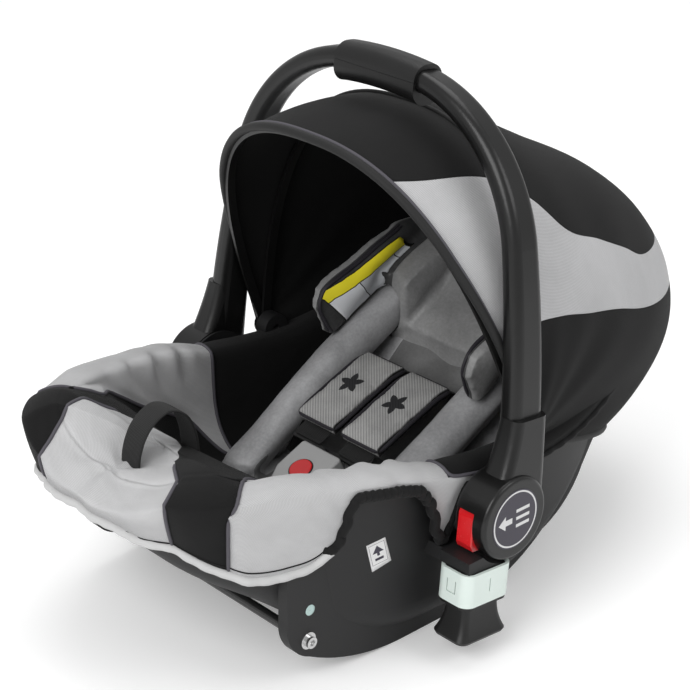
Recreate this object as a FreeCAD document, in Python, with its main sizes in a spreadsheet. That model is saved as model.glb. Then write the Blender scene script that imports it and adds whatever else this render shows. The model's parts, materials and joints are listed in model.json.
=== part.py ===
"""Infant car seat with a swinging carry handle, a folding hood and a three point harness.

The row frame has +Z up, -Y to the foot end and +X to the occupant's left.  Every sub-part is
drawn about the handle's hub axis (Y = 0) with the floor at Z = 0, and its Placement carries it
to the centre of the seat's own outline.
"""
import FreeCAD, Part
import math
import os
import Sketcher

Vector = FreeCAD.Vector
Rotation = FreeCAD.Rotation
Placement = FreeCAD.Placement

# name, value in millimetres or degrees, meaning
SIZES = [
    ("seat_width", 356, "moulded shell at its widest, without its pillars"),
    ("foot_reach", 289, "foot end of the shell ahead of the hub axis"),
    ("head_reach", 300, "head end of the shell behind the hub axis"),
    ("hub_shift", "=(foot_reach + 11 - pivot_y - mid_bow_reach - 33) / 2",
     "hub axis from the middle of the whole outline, along Y"),
    ("hub_height", 135, "hub axis above the floor"),
    ("hub_radius", 40, "round end of the handle arm"),
    ("hub_inner", "=seat_width / 2 + 12", "inner face of the handle arm's housing, along X"),
    ("hub_outer", "=hub_inner + 37", "outer face of the housing"),
    ("hub_cavity_radius", "=hub_radius - 8", "hollow that holds the lock"),
    ("hub_cavity_end", "=hub_outer - 10", "blind end of that hollow, along X"),
    ("hub_cover_thick", 2.2, "inner lid of the housing"),
    ("label_radius", "=hub_radius - 11", "round instruction disc"),
    ("label_thick", 0.6, "its thickness, most of it let into the housing"),
    ("handle_lean", 5.6, "handle's lean towards the head end"),
    ("handle_offset", 21, "handle's centre line behind the hub axis"),
    ("handle_half_width", "=hub_inner + 15", "centre line of the leg, along X"),
    ("leg_arc_radius", 1100, "slight bow of each leg"),
    ("leg_arc_turn", 12.3, "turn of that bow"),
    ("corner_radius", 154.5, "shoulder of the handle"),
    ("corner_turn", 72.1, "turn of the shoulder"),
    ("arch_width", 31, "handle section along the seat"),
    ("arch_thick", 20, "handle section across"),
    ("leg_width", 40, "leg section along the seat, at the hub"),
    ("leg_thick", 25, "leg section across, at the hub"),
    ("grip_half_length", 52, "seam of the grip from the middle"),
    ("grip_width", 36, "grip section along the seat"),
    ("grip_depth", 37, "grip section, upright"),
    ("grip_drop", 3.5, "grip's centre below the handle's centre line"),
    ("fit_gap", 0.3, "gap between pieces that seat on each other"),
    ("pin_radius", 6, "steel pivot pin of the handle"),
    ("gear_radius", 15, "toothed lock wheel on the pin"),
    ("gear_thick", 6, "its thickness"),
    ("gear_teeth", 12, "its teeth"),
    ("button_width", 19, "release button, along X"),
    ("button_height", 38, "release button, upright"),
    ("button_drop", 10, "its middle below the hub axis"),
    ("button_reach", "=hub_radius - 2", "its front face ahead of the hub axis"),
    ("button_depth", 14, "its length along the travel"),
    ("button_travel", 5, "press of the release button"),
    ("adapter_lean", 5, "adapter's lean towards the head end"),
    ("adapter_x", "=hub_inner + 16", "adapter's middle, along X"),
    ("adapter_y", -27, "adapter's middle, along Y"),
    ("adapter_top", 93, "top of the collar above the floor"),
    ("collar_width", 40, "collar along X"),
    ("collar_length", 59, "collar along Y"),
    ("collar_height", 32, "collar's height"),
    ("collar_corner", 11, "its corner radius"),
    ("collar_wall", 3, "its wall"),
    ("post_width", 28, "adapter post along X"),
    ("post_length", 44, "adapter post along Y"),
    ("post_foot", 70, "underside of the post below the collar's top"),
    ("wall", 5, "wall of the moulded shell"),
    ("rib", 4, "rib of the shell's underside"),
    ("rocker_land", 70, "flat of the rocker"),
    ("skirt_outer", "=seat_width / 2 - 28", "outer face of the rocker skirts"),
    ("skirt_thick", 12, "rocker skirt with its hollow"),
    ("bar_radius", 5, "steel cross bar under the foot end"),
    ("bar_y", -178, "cross bar's middle"),
    ("bar_z", 50, "cross bar's height"),
    ("pivot_y", 58, "hood pivot behind the hub axis"),
    ("pivot_z", 170, "hood pivot above the floor"),
    ("rivet_radius", 4, "rivet of the hood"),
    ("hood_half_width", "=seat_width / 2 + 11.4", "outside of the hood fabric at the pivot"),
    ("ear_face", "=hood_half_width - 10.4", "outer face of the hood's ear, along X"),
    ("hood_fabric", 2.5, "hood fabric with its binding"),
    ("front_bow_reach", 292, "front hoop's fabric from the pivot axis"),
    ("front_bow_lean", -19.4, "front hoop's lean"),
    ("mid_bow_reach", 281, "middle hoop's fabric from the pivot axis"),
    ("mid_bow_lean", 4.5, "middle hoop's lean"),
    ("bow_width", 10, "hoop strip along its plane's normal"),
    ("bow_thick", 3.2, "hoop strip's thickness"),
    ("bow_eye_radius", 11, "hoop's eye on the rivet"),
    ("cover_thick", 12, "padded seat cover"),
    ("cover_gap", 0.6, "cover off the shell"),
    ("foot_pad", 13, "extra padding over the foot end"),
    ("insert_width", "=seat_width / 2 - 66", "half width of the body insert"),
    ("bolster_radius", 22, "side bolster of the insert"),
    ("head_slab", 22, "head pad behind the head"),
    ("wing_thick", 20, "head pad's standing wings"),
    ("strap_width", 38, "shoulder webbing"),
    ("strap_thick", 2, "its thickness"),
    ("strap_x", 31, "shoulder strap from the middle"),
    ("pad_width", 55, "shoulder pad"),
    ("pad_thick", 10, "its thickness"),
    ("harness_tilt", 23, "slope of the buckle and the pads"),
    ("buckle_width", 54, "buckle housing"),
    ("buckle_length", 60, "its length"),
    ("buckle_thick", 18, "its thickness"),
    ("buckle_button_radius", 11.5, "its push button"),
    ("buckle_travel", 3, "press of the buckle's button"),
    ("buckle_y", -50, "buckle's middle, along Y"),
    ("buckle_z", 105, "buckle's middle above the floor"),
    ("crotch_pad_width", 68, "soft pad behind the buckle"),
    ("crotch_pad_length", 78, "its length"),
    ("crotch_pad_thick", 6.1, "its thickness"),
    ("adjuster_y", "=75.5 - foot_reach", "harness adjuster's middle, along Y"),
    ("adjuster_z", 178, "its underside above the floor"),
    ("adjuster_width", 48, "adjuster housing along X"),
    ("adjuster_length", 43, "its length"),
    ("adjuster_thick", 9, "its height"),
    ("lever_width", 28, "adjuster's press lever"),
    ("lever_length", 24, "its length"),
    ("loop_width", 26, "pull strap at the foot end"),
    ("loop_length", 70, "its loop along the seat"),
    ("loop_height", 56, "its rise"),
    ("loop_thick", 3, "its folded webbing"),
]

doc = FreeCAD.newDocument("InfantCarSeat")
sheet = doc.addObject("Spreadsheet::Sheet", "Sizes")
PARTS = []
# cutting shapes run this far, past every piece
BEYOND = 400


def fill_sheet():
    """One row for each driving size: its name, its value under an alias, its meaning."""
    for row, (name, value, meaning) in enumerate(SIZES, 1):
        sheet.set("A%d" % row, name)
        sheet.setAlias("B%d" % row, name)
        sheet.set("B%d" % row, str(value))
        sheet.set("C%d" % row, meaning)
    doc.recompute()


def size(name):
    return float(sheet.get(name))


# ---------------------------------------------------------------- document helpers

def new_body(label):
    body = doc.addObject("PartDesign::Body", label)
    body.Label = label
    PARTS.append(body)
    return body


def origin_plane(body, role):
    return [plane for plane in body.Origin.OriginFeatures if plane.Role == role][0]


def new_sketch(body, name, role, level="0"):
    """An empty sketch on one of the body's own planes, moved along its normal to level."""
    sketch = body.newObject("Sketcher::SketchObject", name)
    sketch.AttachmentSupport = [(origin_plane(body, role), "")]
    sketch.MapMode = "FlatFace"
    sketch.setExpression("AttachmentOffset.Base.z", level)
    return sketch


def outline(body, name, role, points, level="0"):
    """A closed outline of straight lines; each corner is bound by a pair of expressions."""
    sketch = new_sketch(body, name, role, level)
    count = len(points)
    start = [Vector(math.cos(2 * math.pi * i / count), math.sin(2 * math.pi * i / count), 0)
             for i in range(count)]
    for i in range(count):
        sketch.addGeometry(Part.LineSegment(start[i], start[(i + 1) % count]), False)
    for i in range(count):
        sketch.addConstraint(Sketcher.Constraint("Coincident", i, 2, (i + 1) % count, 1))
    for i, corner in enumerate(points):
        for kind, expression in zip(("DistanceX", "DistanceY"), corner):
            value = evaluate(expression)
            index = sketch.addConstraint(Sketcher.Constraint(kind, -1, 1, i, 1, value))
            sketch.setExpression("Constraints[%d]" % index, expression)
    return sketch


def evaluate(expression):
    """The present value of an expression of the sheet's sizes."""
    result = sheet.evalExpression(expression.replace("Sizes.", ""))
    return float(getattr(result, "Value", result))


def circles(body, name, role, discs, level="0"):
    """A sketch of circles, each given by expressions for its centre and radius."""
    sketch = new_sketch(body, name, role, level)
    for number, (across, along, radius) in enumerate(discs):
        sketch.addGeometry(Part.Circle(Vector(evaluate(across), evaluate(along), 0),
                                       Vector(0, 0, 1), evaluate(radius)), False)
        for kind, expression in (("DistanceX", across), ("DistanceY", along)):
            index = sketch.addConstraint(
                Sketcher.Constraint(kind, -1, 1, number, 3, evaluate(expression)))
            sketch.setExpression("Constraints[%d]" % index, expression)
        index = sketch.addConstraint(Sketcher.Constraint("Radius", number, evaluate(radius)))
        sketch.setExpression("Constraints[%d]" % index, radius)
    return sketch


def rounded(body, name, role, low, high, radius, level="0"):
    """A rectangle with round corners, from expressions for two opposite corners."""
    sketch = new_sketch(body, name, role, level)
    x0, y0 = [evaluate(e) for e in low]
    x1, y1 = [evaluate(e) for e in high]
    r = evaluate(radius)
    runs = [((x0 + r, y0), (x1 - r, y0)), ((x1, y0 + r), (x1, y1 - r)),
            ((x1 - r, y1), (x0 + r, y1)), ((x0, y1 - r), (x0, y0 + r))]
    centres = [(x1 - r, y0 + r), (x1 - r, y1 - r), (x0 + r, y1 - r), (x0 + r, y0 + r)]
    for i, (run, centre) in enumerate(zip(runs, centres)):
        sketch.addGeometry(Part.LineSegment(Vector(*run[0], 0), Vector(*run[1], 0)), False)
        circle = Part.Circle(Vector(*centre, 0), Vector(0, 0, 1), r)
        start = math.radians(90 * (i - 1))
        sketch.addGeometry(Part.ArcOfCircle(circle, start, start + math.pi / 2), False)
    for i in range(4):
        line = 2 * i
        sketch.addConstraint(Sketcher.Constraint("Tangent", line, 2, line + 1, 1))
        sketch.addConstraint(Sketcher.Constraint("Tangent", line + 1, 2, (line + 2) % 8, 1))
        sketch.addConstraint(Sketcher.Constraint("Vertical" if i % 2 else "Horizontal", line))
    for i in (3, 5, 7):
        sketch.addConstraint(Sketcher.Constraint("Equal", 1, i))
    limits = [("DistanceY", 0, low[1]), ("DistanceX", 2, high[0]), ("DistanceY", 4, high[1]),
              ("DistanceX", 6, low[0])]
    for kind, line, expression in limits:
        index = sketch.addConstraint(
            Sketcher.Constraint(kind, -1, 1, line, 1, evaluate(expression)))
        sketch.setExpression("Constraints[%d]" % index, expression)
    index = sketch.addConstraint(Sketcher.Constraint("Radius", 1, r))
    sketch.setExpression("Constraints[%d]" % index, radius)
    return sketch


def pad(body, sketch, length, backwards=False, middle=False, name="Pad"):
    feature = body.newObject("PartDesign::Pad", name)
    feature.Profile = sketch
    feature.setExpression("Length", length)
    feature.Reversed = backwards
    feature.Midplane = middle
    doc.recompute()
    return feature


def pocket(body, sketch, length, backwards=False, name="Pocket"):
    """A pocket that must remove material: the volumes before and after are compared."""
    before = body.Shape.Volume
    feature = body.newObject("PartDesign::Pocket", name)
    feature.Profile = sketch
    feature.setExpression("Length", length)
    feature.Reversed = backwards
    doc.recompute()
    if not body.Shape.Volume < before - 0.01:
        raise RuntimeError(body.Label + ": the pocket cuts nothing")
    return feature


def round_edges(body, radius, chosen, kind="PartDesign::Fillet"):
    """Fillet or chamfer every edge of the body for which chosen(edge) is true."""
    tip = body.Tip
    names = ["Edge%d" % (i + 1) for i, edge in enumerate(tip.Shape.Edges) if chosen(edge)]
    if not names:
        raise RuntimeError(body.Label + ": no edge to round")
    feature = body.newObject(kind, "Round")
    feature.Base = (tip, names)
    feature.setExpression("Radius" if kind.endswith("Fillet") else "Size", radius)
    doc.recompute()
    return feature


def parallel(axis):
    """A chooser of the straight edges along an axis."""
    def chosen(edge):
        if not isinstance(edge.Curve, Part.Line):
            return False
        return abs(abs(edge.Curve.Direction.dot(axis)) - 1) < 1e-6
    return chosen


def solid(label, shape, placement):
    """A sub-part whose Shape is worked out by Part's functions from the sheet's sizes."""
    part = doc.addObject("Part::Feature", label)
    part.Label = label
    part.Shape = shape.removeSplitter() if len(shape.Solids) == 1 else shape
    part.Placement = placement
    PARTS.append(part)
    return part


def mirrored(source, label):
    """The right-hand copy of a left-hand sub-part."""
    copy = doc.addObject("Part::Mirroring", label)
    copy.Label = label
    copy.Source = source
    copy.Normal = (1, 0, 0)
    doc.recompute()
    PARTS.append(copy)
    return copy


def pair(make):
    """A handed sub-part and its mirror image, named *_left and *_right."""
    left = make()
    doc.recompute()
    mirrored(left, left.Label.replace("_left", "_right"))
    return left


# ---------------------------------------------------------------- placements

def seat_place():
    return Placement(Vector(0, size("hub_shift"), 0), Rotation())


def handle_place():
    """Handle frame: origin on the hub axis, Z along the leaning legs, Y square to them."""
    return Placement(Vector(0, size("hub_shift"), size("hub_height")),
                     Rotation(Vector(1, 0, 0), -size("handle_lean")))


def adapter_place():
    """Adapter frame: origin in the middle of the collar's top."""
    return Placement(Vector(size("adapter_x"), size("hub_shift") + size("adapter_y"),
                            size("adapter_top")),
                     Rotation(Vector(1, 0, 0), -size("adapter_lean")))


def hood_place():
    """Hood frame: origin on the rivets' axis."""
    return Placement(Vector(0, size("hub_shift") + size("pivot_y"), size("pivot_z")), Rotation())


def buckle_place():
    """Buckle frame: origin in the middle of the buckle, Y up along the harness."""
    return Placement(Vector(0, size("hub_shift") + size("buckle_y"), size("buckle_z")),
                     Rotation(Vector(1, 0, 0), size("harness_tilt")))


# ---------------------------------------------------------------- shapes

def box(low, high):
    return Part.makeBox(high[0] - low[0], high[1] - low[1], high[2] - low[2], Vector(*low))


def rod(radius, start, end, across=(0, 0)):
    """A cylinder along X from start to end, about the axis at across = (Y, Z)."""
    return Part.makeCylinder(radius, end - start, Vector(start, across[0], across[1]),
                             Vector(1, 0, 0))


def prism(wire, run):
    """The solid that a flat wire sweeps along run, turned so that its volume is positive."""
    shape = Part.Face(wire).extrude(run)
    if shape.Volume < 0:
        shape.reverse()
    return shape


def side_prism(points, start, end):
    """A side view outline (Y, Z) carried across the seat from X = start to end."""
    corners = [Vector(start, y, z) for y, z in points]
    return prism(Part.makePolygon(corners + corners[:1]), Vector(end - start, 0, 0))


def tangent_arc(flat, end):
    """Three points of the arc that leaves the level point flat and reaches end."""
    dy = end[0] - flat[0]
    dz = end[1] - flat[1]
    radius = (dy * dy + dz * dz) / (2 * dz)
    half = math.asin(dy / radius) / 2
    middle = (flat[0] + radius * math.sin(half), flat[1] + radius * (1 - math.cos(half)))
    return [flat, middle, end]


def arc_prism(pieces, start, end):
    """Like side_prism, from edges: two points make a line, three points an arc."""
    edges = []
    for piece in pieces:
        corners = [Vector(start, y, z) for y, z in piece]
        if len(corners) == 2:
            edges.append(Part.LineSegment(*corners).toShape())
        else:
            edges.append(Part.Arc(*corners).toShape())
    return prism(Part.Wire(edges), Vector(end - start, 0, 0))


def smooth_prism(points, close, start, end):
    """A side view whose upper edge is one smooth curve, closed by the corners in close."""
    curve = Part.BSplineCurve()
    curve.interpolate([Vector(start, y, z) for y, z in points])
    corners = [Vector(start, *points[-1])] + [Vector(start, y, z) for y, z in close]
    corners.append(Vector(start, *points[0]))
    edges = [curve.toShape()]
    edges += [Part.LineSegment(a, b).toShape() for a, b in zip(corners, corners[1:])]
    return prism(Part.Wire(edges), Vector(end - start, 0, 0))


def rounded_rectangle(width, length, radius, middle, across=Vector(1, 0, 0),
                      along=Vector(0, 1, 0)):
    """A closed wire of four lines and four arcs in the plane of across and along."""
    def at(x, y):
        return middle + across * x + along * y
    a = width / 2
    b = length / 2
    turn = radius * (1 - math.sqrt(0.5))
    edges = []
    for sx, sy in ((1, 1), (-1, 1), (-1, -1), (1, -1)):
        ends = [at(sx * a, sy * (b - radius)), at(sx * (a - radius), sy * b)]
        if sx * sy < 0:
            ends.reverse()
        edges.append(Part.Arc(ends[0], at(sx * (a - turn), sy * (b - turn)), ends[1]))
    wire = []
    for i, arc in enumerate(edges):
        wire.append(arc.toShape())
        wire.append(Part.LineSegment(arc.EndPoint, edges[(i + 1) % 4].StartPoint).toShape())
    return Part.Wire(wire)


def one_piece(shape):
    """The single solid of a shape; crumbs under a thousandth of it are left out."""
    solids = sorted(shape.Solids, key=lambda piece: piece.Volume)
    if len(solids) > 1 and solids[-2].Volume > solids[-1].Volume / 1000:
        raise RuntimeError("a piece came apart: " + str([round(s.Volume) for s in solids]))
    return solids[-1]


def loft(wires, ruled=False):
    return Part.makeLoft(wires, True, ruled)


# ---------------------------------------------------------------- bucket of the shell

HULL_TOP = 293
FOOT_RIDGE_END = -160

# Y, underside, inset of the underside's corner and of the side at HULL_TOP from half the
# seat's width, corner radius.  Places along the seat are for the ends FOOT_END and HEAD_END.
FOOT_END = -289.0
HEAD_END = 300.0
OUTER_HULL = [
    (-289, 158, 112, 94, 18),
    (-281, 146, 88, 70, 22),
    (-262, 127, 66, 48, 26),
    (-210, 89, 44, 26, 30),
    (-150, 42, 30, 15, 34),
    (-90, 13, 20, 7, 36),
    (-20, 6, 15, 1, 38),
    (60, 11, 15, 0, 38),
    (130, 34, 20, 2, 38),
    (190, 84, 32, 8, 38),
    (240, 139, 50, 20, 36),
    (280, 198, 74, 40, 30),
    (300, 233, 94, 60, 24),
]
INNER_HULL = [
    (-277, 156, 100, 84, 14),
    (-250, 159, 70, 51, 20),
    (-210, 161, 50, 31, 24),
    (-180, 157, 42, 25, 26),
    (-150, 122, 36, 20, 30),
    (-90, 61, 28, 12, 32),
    (-20, 45, 23, 6, 34),
    (60, 57, 22, 5, 34),
    (130, 109, 28, 7, 34),
    (190, 159, 40, 14, 32),
    (240, 205, 60, 28, 30),
    (272, 235, 78, 44, 26),
    (288, 255, 94, 60, 20),
]
# top edge of the side walls, as Y and Z
RIM = [(-330, 206), (-262, 209), (-205, 206), (-150, 198), (-96, 188), (-40, 170), (10, 160),
       (80, 156), (140, 163), (200, 185), (250, 219), (300, 269), (330, 303)]
# lower edge of the cover's outside, from the foot end to behind the hub
HEM = [(-330, 171), (-296, 165), (-262, 143), (-232, 132), (-205, 130), (-172, 134),
       (-153, 153), (-146, 180), (-138, 196), (-96, 192), (-70, 173), (-56, 143), (-50, 118),
       (-43, 109), (-36, 112), (-30, 132), (-22, 156), (0, 163), (60, 161), (60, 323)]


def along(y):
    """A place along the seat, moved with the end of the shell on its side of the hub."""
    if y < 0:
        return y * size("foot_reach") / -FOOT_END
    return y * size("head_reach") / HEAD_END


def lengthwise(points):
    return [(along(y), z) for y, z in points]


def rounded_u(y, z_bottom, half_bottom, half_top, z_top, radius):
    """Cross section of the bucket: flat bottom, round corners, slightly flared sides."""
    corner = Vector(half_bottom, y, z_bottom)
    side = (Vector(half_top, y, z_top) - corner).normalize()
    inward = Vector(-1, 0, 0)
    half_angle = inward.getAngle(side) / 2
    tangent = radius / math.tan(half_angle)
    bisector = (inward + side).normalize()
    points = [corner + inward * tangent,
              corner + bisector * (radius / math.sin(half_angle) - radius),
              corner + side * tangent,
              Vector(half_top, y, z_top)]
    left = [Vector(-p.x, p.y, p.z) for p in points]
    return Part.Wire([
        Part.LineSegment(left[0], points[0]).toShape(),
        Part.Arc(points[0], points[1], points[2]).toShape(),
        Part.LineSegment(points[2], points[3]).toShape(),
        Part.LineSegment(points[3], left[3]).toShape(),
        Part.LineSegment(left[3], left[2]).toShape(),
        Part.Arc(left[2], left[1], left[0]).toShape(),
    ])


def hull(stations, grow, foot_lift=0.0):
    """The bucket's form through its stations, every face moved outwards by about grow."""
    first = along(stations[0][0])
    half_length = (along(stations[-1][0]) - first) / 2.0
    middle = first + half_length
    half_width = size("seat_width") / 2 + grow
    wires = []
    for y, z_bottom, inset_bottom, inset_top, radius in stations:
        lift = foot_lift if y < FOOT_RIDGE_END else 0.0
        wires.append(rounded_u(middle + (along(y) - middle) * (1 + grow / half_length),
                               z_bottom - grow + lift, half_width - inset_bottom,
                               half_width - inset_top,
                               HULL_TOP + 60 + grow, max(6.0, radius + grow / 2)))
    return loft(wires)


def above_rim(lift):
    """Everything above the rim's line raised by lift."""
    points = [(y, z + lift) for y, z in lengthwise(RIM)]
    top = RIM[-1][1] + 170
    return smooth_prism(points, [(points[-1][0], top), (points[0][0], top)], -BEYOND, BEYOND)


def foot_saddle(drop, radius=175):
    """The dip of the foot end's rim, a long cylinder along Y."""
    middle = RIM[1][1] - drop + radius
    end = along(-340)
    return Part.makeCylinder(radius, along(-190) - end, Vector(0, end, middle), Vector(0, 1, 0))


def skirt_outline(inset):
    """Side view of the rocker: front edge, round corner, long arcs and a flat in the middle."""
    land = size("rocker_land") / 2
    front = -201 + inset
    top = max(0, -inset)
    middle = -25
    low_front = (-176 + inset * 0.4, 32 + inset)
    low_back = (126, 41 + inset)
    rear = (180 - inset, 92)
    return [
        [(front, 143 + top), (front, 76)],
        [(front, 76), (-196 + inset * 0.8, 49 + inset * 0.6), low_front],
        tangent_arc((middle - land, inset), low_front)[::-1],
        [(middle - land, inset), (middle + land, inset)],
        tangent_arc((middle + land, inset), low_back),
        [low_back, (160 - inset * 0.6, 63 + inset * 0.7), rear],
        [rear, (200 - inset, 125 + top)],
        [(200 - inset, 125 + top), (front, 143 + top)],
    ]


def underside_hollow():
    """Hollow of the double bottom, with its opening downwards, less the ribs across it."""
    wall = size("wall")
    hollow = hull(OUTER_HULL, -wall).cut(hull(INNER_HULL, wall))
    hollow = max(hollow.Solids, key=lambda piece: piece.Volume)
    half = size("skirt_outer") - size("skirt_thick") - 22
    opening = side_prism(lengthwise([(-172, 71), (-150, 53), (-90, 26), (104, 36), (104, -20),
                                     (-172, -20)]), -half, half)
    rib = size("rib") / 2
    ribs = [box((x - rib, -BEYOND, -BEYOND), (x + rib, BEYOND, BEYOND))
            for x in (-half / 2, 0, half / 2)]
    ribs += [box((-BEYOND, along(y) - rib, -BEYOND), (BEYOND, along(y) + rib, BEYOND))
             for y in (-110, -30, 50, 130)]
    return hollow.fuse(opening).cut(ribs)


def strap_slots(width, tall, low, high):
    """Slots for the shoulder straps, square to the back of the seat."""
    slots = []
    for row_y, row_z in ((138, 121), (196, 169)):
        for sign in (1, -1):
            slot = box((sign * size("strap_x") - width / 2, -tall / 2, low),
                       (sign * size("strap_x") + width / 2, tall / 2, high))
            slot.Placement = Placement(Vector(0, along(row_y), row_z),
                                       Rotation(Vector(1, 0, 0), 40))
            slots.append(slot)
    return slots


def collar_plane(y):
    """Height of the adapter collar's top at a place along the seat."""
    return size("adapter_top") - (y - size("adapter_y")) * math.tan(
        math.radians(size("adapter_lean")))


def adapter_socket(span, grow=0.0):
    """Moulded seat of the adapter under the hub: a block outside, a thinner web to the wall."""
    gap = size("fit_gap") - grow
    inner = size("hub_inner")
    front = -52 - grow
    back = -6 + grow
    low = [(front, collar_plane(front) + gap), (back, collar_plane(back) + gap)]
    block = side_prism(low + [(back, 118 + grow), (front + 30, 107 + grow), (front, 107 + grow)],
                       *span(inner - 4 - grow, size("hub_outer") - 5 + grow))
    clear = rod(size("hub_radius") + 4.5 - grow, *span(inner - 10, BEYOND),
                across=(0, size("hub_height")))
    web = side_prism(low + [(back, 102 + grow), (front + 6, 105 + grow)],
                     *span(size("skirt_outer") - 10, inner))
    return block.cut(clear).fuse(web)


def ear_foot():
    """Side view of the web that carries the hood's ear."""
    y = size("pivot_y")
    z = size("pivot_z")
    return [(y - 22, z - 47), (y + 24, z - 47), (y + 14, z - 1), (y - 14, z - 1)]


def make_shell():
    """Moulded bucket: double bottom with ribs, rocker skirts, pivot pillars, hood ears."""
    hub = (0, size("hub_height"))
    hood = (size("pivot_y"), size("pivot_z"))
    outer = size("skirt_outer")
    ear = size("ear_face")
    body = hull(OUTER_HULL, 0)
    added = []
    for sign in (1, -1):
        def span(low, high):
            return (low, high) if sign > 0 else (-high, -low)
        added.append(arc_prism(skirt_outline(0), *span(outer - size("skirt_thick"), outer)))
        added.append(rod(24, *span(outer, size("hub_inner") - 1), across=hub))
        added.append(rod(15, *span(outer, ear), across=hood))
        added.append(adapter_socket(span))
        added.append(side_prism(ear_foot(), *span(outer, ear - 7)))
    body = body.fuse(added)
    body = body.cut(above_rim(0))
    for sign in (1, -1):
        body = body.fuse(rod(15, *sorted((sign * (ear - 15), sign * ear)), across=hood))
    body = body.cut(hull(INNER_HULL, 0))
    body = body.cut(foot_saddle(44))
    body = body.cut(underside_hollow())
    body = body.cut(strap_slots(46, 8, -60, 40))
    holes = [rod(size("bar_radius") + 0.2, -outer - 10, outer + 10,
                 across=(size("bar_y"), size("bar_z")))]
    for sign in (1, -1):
        pin = sorted(sign * (size("hub_inner") + reach) for reach in (-20, 5))
        rivet = sorted(sign * (ear + reach) for reach in (-19, 6))
        holes.append(rod(size("pin_radius") + 0.1, *pin, across=hub))
        holes.append(rod(size("rivet_radius") + 0.1, *rivet, across=hood))
    return solid("shell", body.cut(holes), seat_place())


# ---------------------------------------------------------------- carry handle

def arch_points():
    """Ends, middles and centres of the handle's arcs on the +X side, as (X, Z) pairs."""
    first = math.radians(size("leg_arc_turn"))
    second = first + math.radians(size("corner_turn"))
    big = size("leg_arc_radius")
    small = size("corner_radius")
    x = size("handle_half_width")
    leg_centre = (x - big, 0)
    leg = [(leg_centre[0] + big * math.cos(a), big * math.sin(a)) for a in (0, first / 2, first)]
    corner_centre = (leg[2][0] - small * math.cos(first), leg[2][1] - small * math.sin(first))
    corner = [(corner_centre[0] + small * math.cos(a), corner_centre[1] + small * math.sin(a))
              for a in (first, (first + second) / 2, second)]
    top_radius = corner[2][0] / math.cos(second)
    top_z = corner[2][1] + top_radius * (1 - math.sin(second))
    return leg, corner, (0, top_z)


def handle_point(x, z):
    return Vector(x, size("handle_offset"), z)


def arch_wire(with_legs=True):
    """Centre line of the handle from the left hub over the top to the right hub."""
    leg, corner, top = arch_points()
    runs = [corner[:]]
    if with_legs:
        runs.insert(0, leg[:])
    edges = [Part.Arc(*[handle_point(*p) for p in run]).toShape() for run in runs]
    edges.append(Part.Arc(handle_point(*corner[2]), handle_point(*top),
                          handle_point(-corner[2][0], corner[2][1])).toShape())
    for run in reversed(runs):
        back = [handle_point(-x, z) for x, z in reversed(run)]
        edges.append(Part.Arc(*back).toShape())
    return Part.Wire(edges)


def handle_section(x, z, angle, thick, width, radius, drop=0):
    """Rounded section square to the centre line at (x, z); angle is the line's normal."""
    outward = Vector(math.cos(angle), 0, math.sin(angle))
    middle = handle_point(x, z) - outward * drop
    return rounded_rectangle(thick, width, radius, middle, outward, Vector(0, 1, 0))


def make_handle_frame():
    """Moulded handle: two legs with round hub housings, shoulders and the bar of the grip."""
    leg, corner, _ = arch_points()
    first = math.radians(size("leg_arc_turn"))
    second = first + math.radians(size("corner_turn"))
    wire = arch_wire()
    sweep = Part.BRepOffsetAPI.MakePipeShell(wire)
    sections = [(leg[0], 0, size("leg_thick"), size("leg_width")),
                (leg[2], first, size("arch_thick") + 1, size("arch_width") + 3),
                (corner[2], second, size("arch_thick"), size("arch_width") - 2)]
    for (x, z), angle, thick, width in sections:
        for sign in (1, -1):
            turn = angle if sign > 0 else math.pi - angle
            profile = handle_section(sign * x, z, turn, thick, width, thick * 0.42)
            near = min(wire.Vertexes, key=lambda v: (v.Point - handle_point(sign * x, z)).Length)
            sweep.add(profile, near)
    sweep.build()
    sweep.makeSolid()
    body = sweep.shape()
    hubs = []
    hollows = []
    for sign in (1, -1):
        def span(low, high):
            return (low, high) if sign > 0 else (-high, -low)
        radius = size("hub_radius")
        inner = size("hub_inner") + size("hub_cover_thick") + size("fit_gap")
        hub = rod(radius, *span(inner, size("hub_outer")))
        rim_edges = [e for e in hub.Edges if abs(e.CenterOfMass.x - sign * size("hub_outer")) < 1]
        hub = hub.makeFillet(4, rim_edges)
        hubs.append(hub)
        hubs.append(leg_root(sign, inner))
        hollows.append(rod(size("hub_cavity_radius"), *span(inner - 1, size("hub_cavity_end") - 6)))
        hollows.append(rod(size("label_radius") + size("fit_gap"),
                           *span(size("hub_outer") - 0.5, BEYOND)))
        low, high = span(inner - 1, inner + size("button_width") + 1)
        middle = -size("button_drop")
        half = size("button_height") / 2 + 0.4
        hollows.append(box((low, -60, middle - half), (high, 0, middle + half)))
        hollows.append(rod(size("pin_radius") + 0.1, *span(inner - 1, size("hub_cavity_end"))))
    body = body.fuse(hubs)
    return solid("handle_frame", body.cut(hollows), handle_place())


def leg_root(sign, inner):
    """Teardrop that runs from the round housing up into the leg."""
    def section(z, low, high, front, back, radius):
        across = Vector(1, 0, 0)
        middle = Vector(sign * (low + high) / 2, (front + back) / 2, z)
        return rounded_rectangle(high - low, back - front, radius, middle, across)
    x = size("handle_half_width")
    y = size("handle_offset")
    wide = size("leg_width") / 2
    thick = size("leg_thick") / 2
    rad = size("hub_radius")
    return loft([section(-2, inner, size("hub_outer") - 1, -rad * 0.82, rad * 0.99, 9),
                 section(rad * 0.9, inner, size("hub_outer") - 4, -rad * 0.35, y + wide - 0.5, 9),
                 section(rad * 2.2, x - thick - 0.5, x + thick + 0.5, y - wide - 0.5,
                         y + wide + 0.4, 9)])


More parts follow.
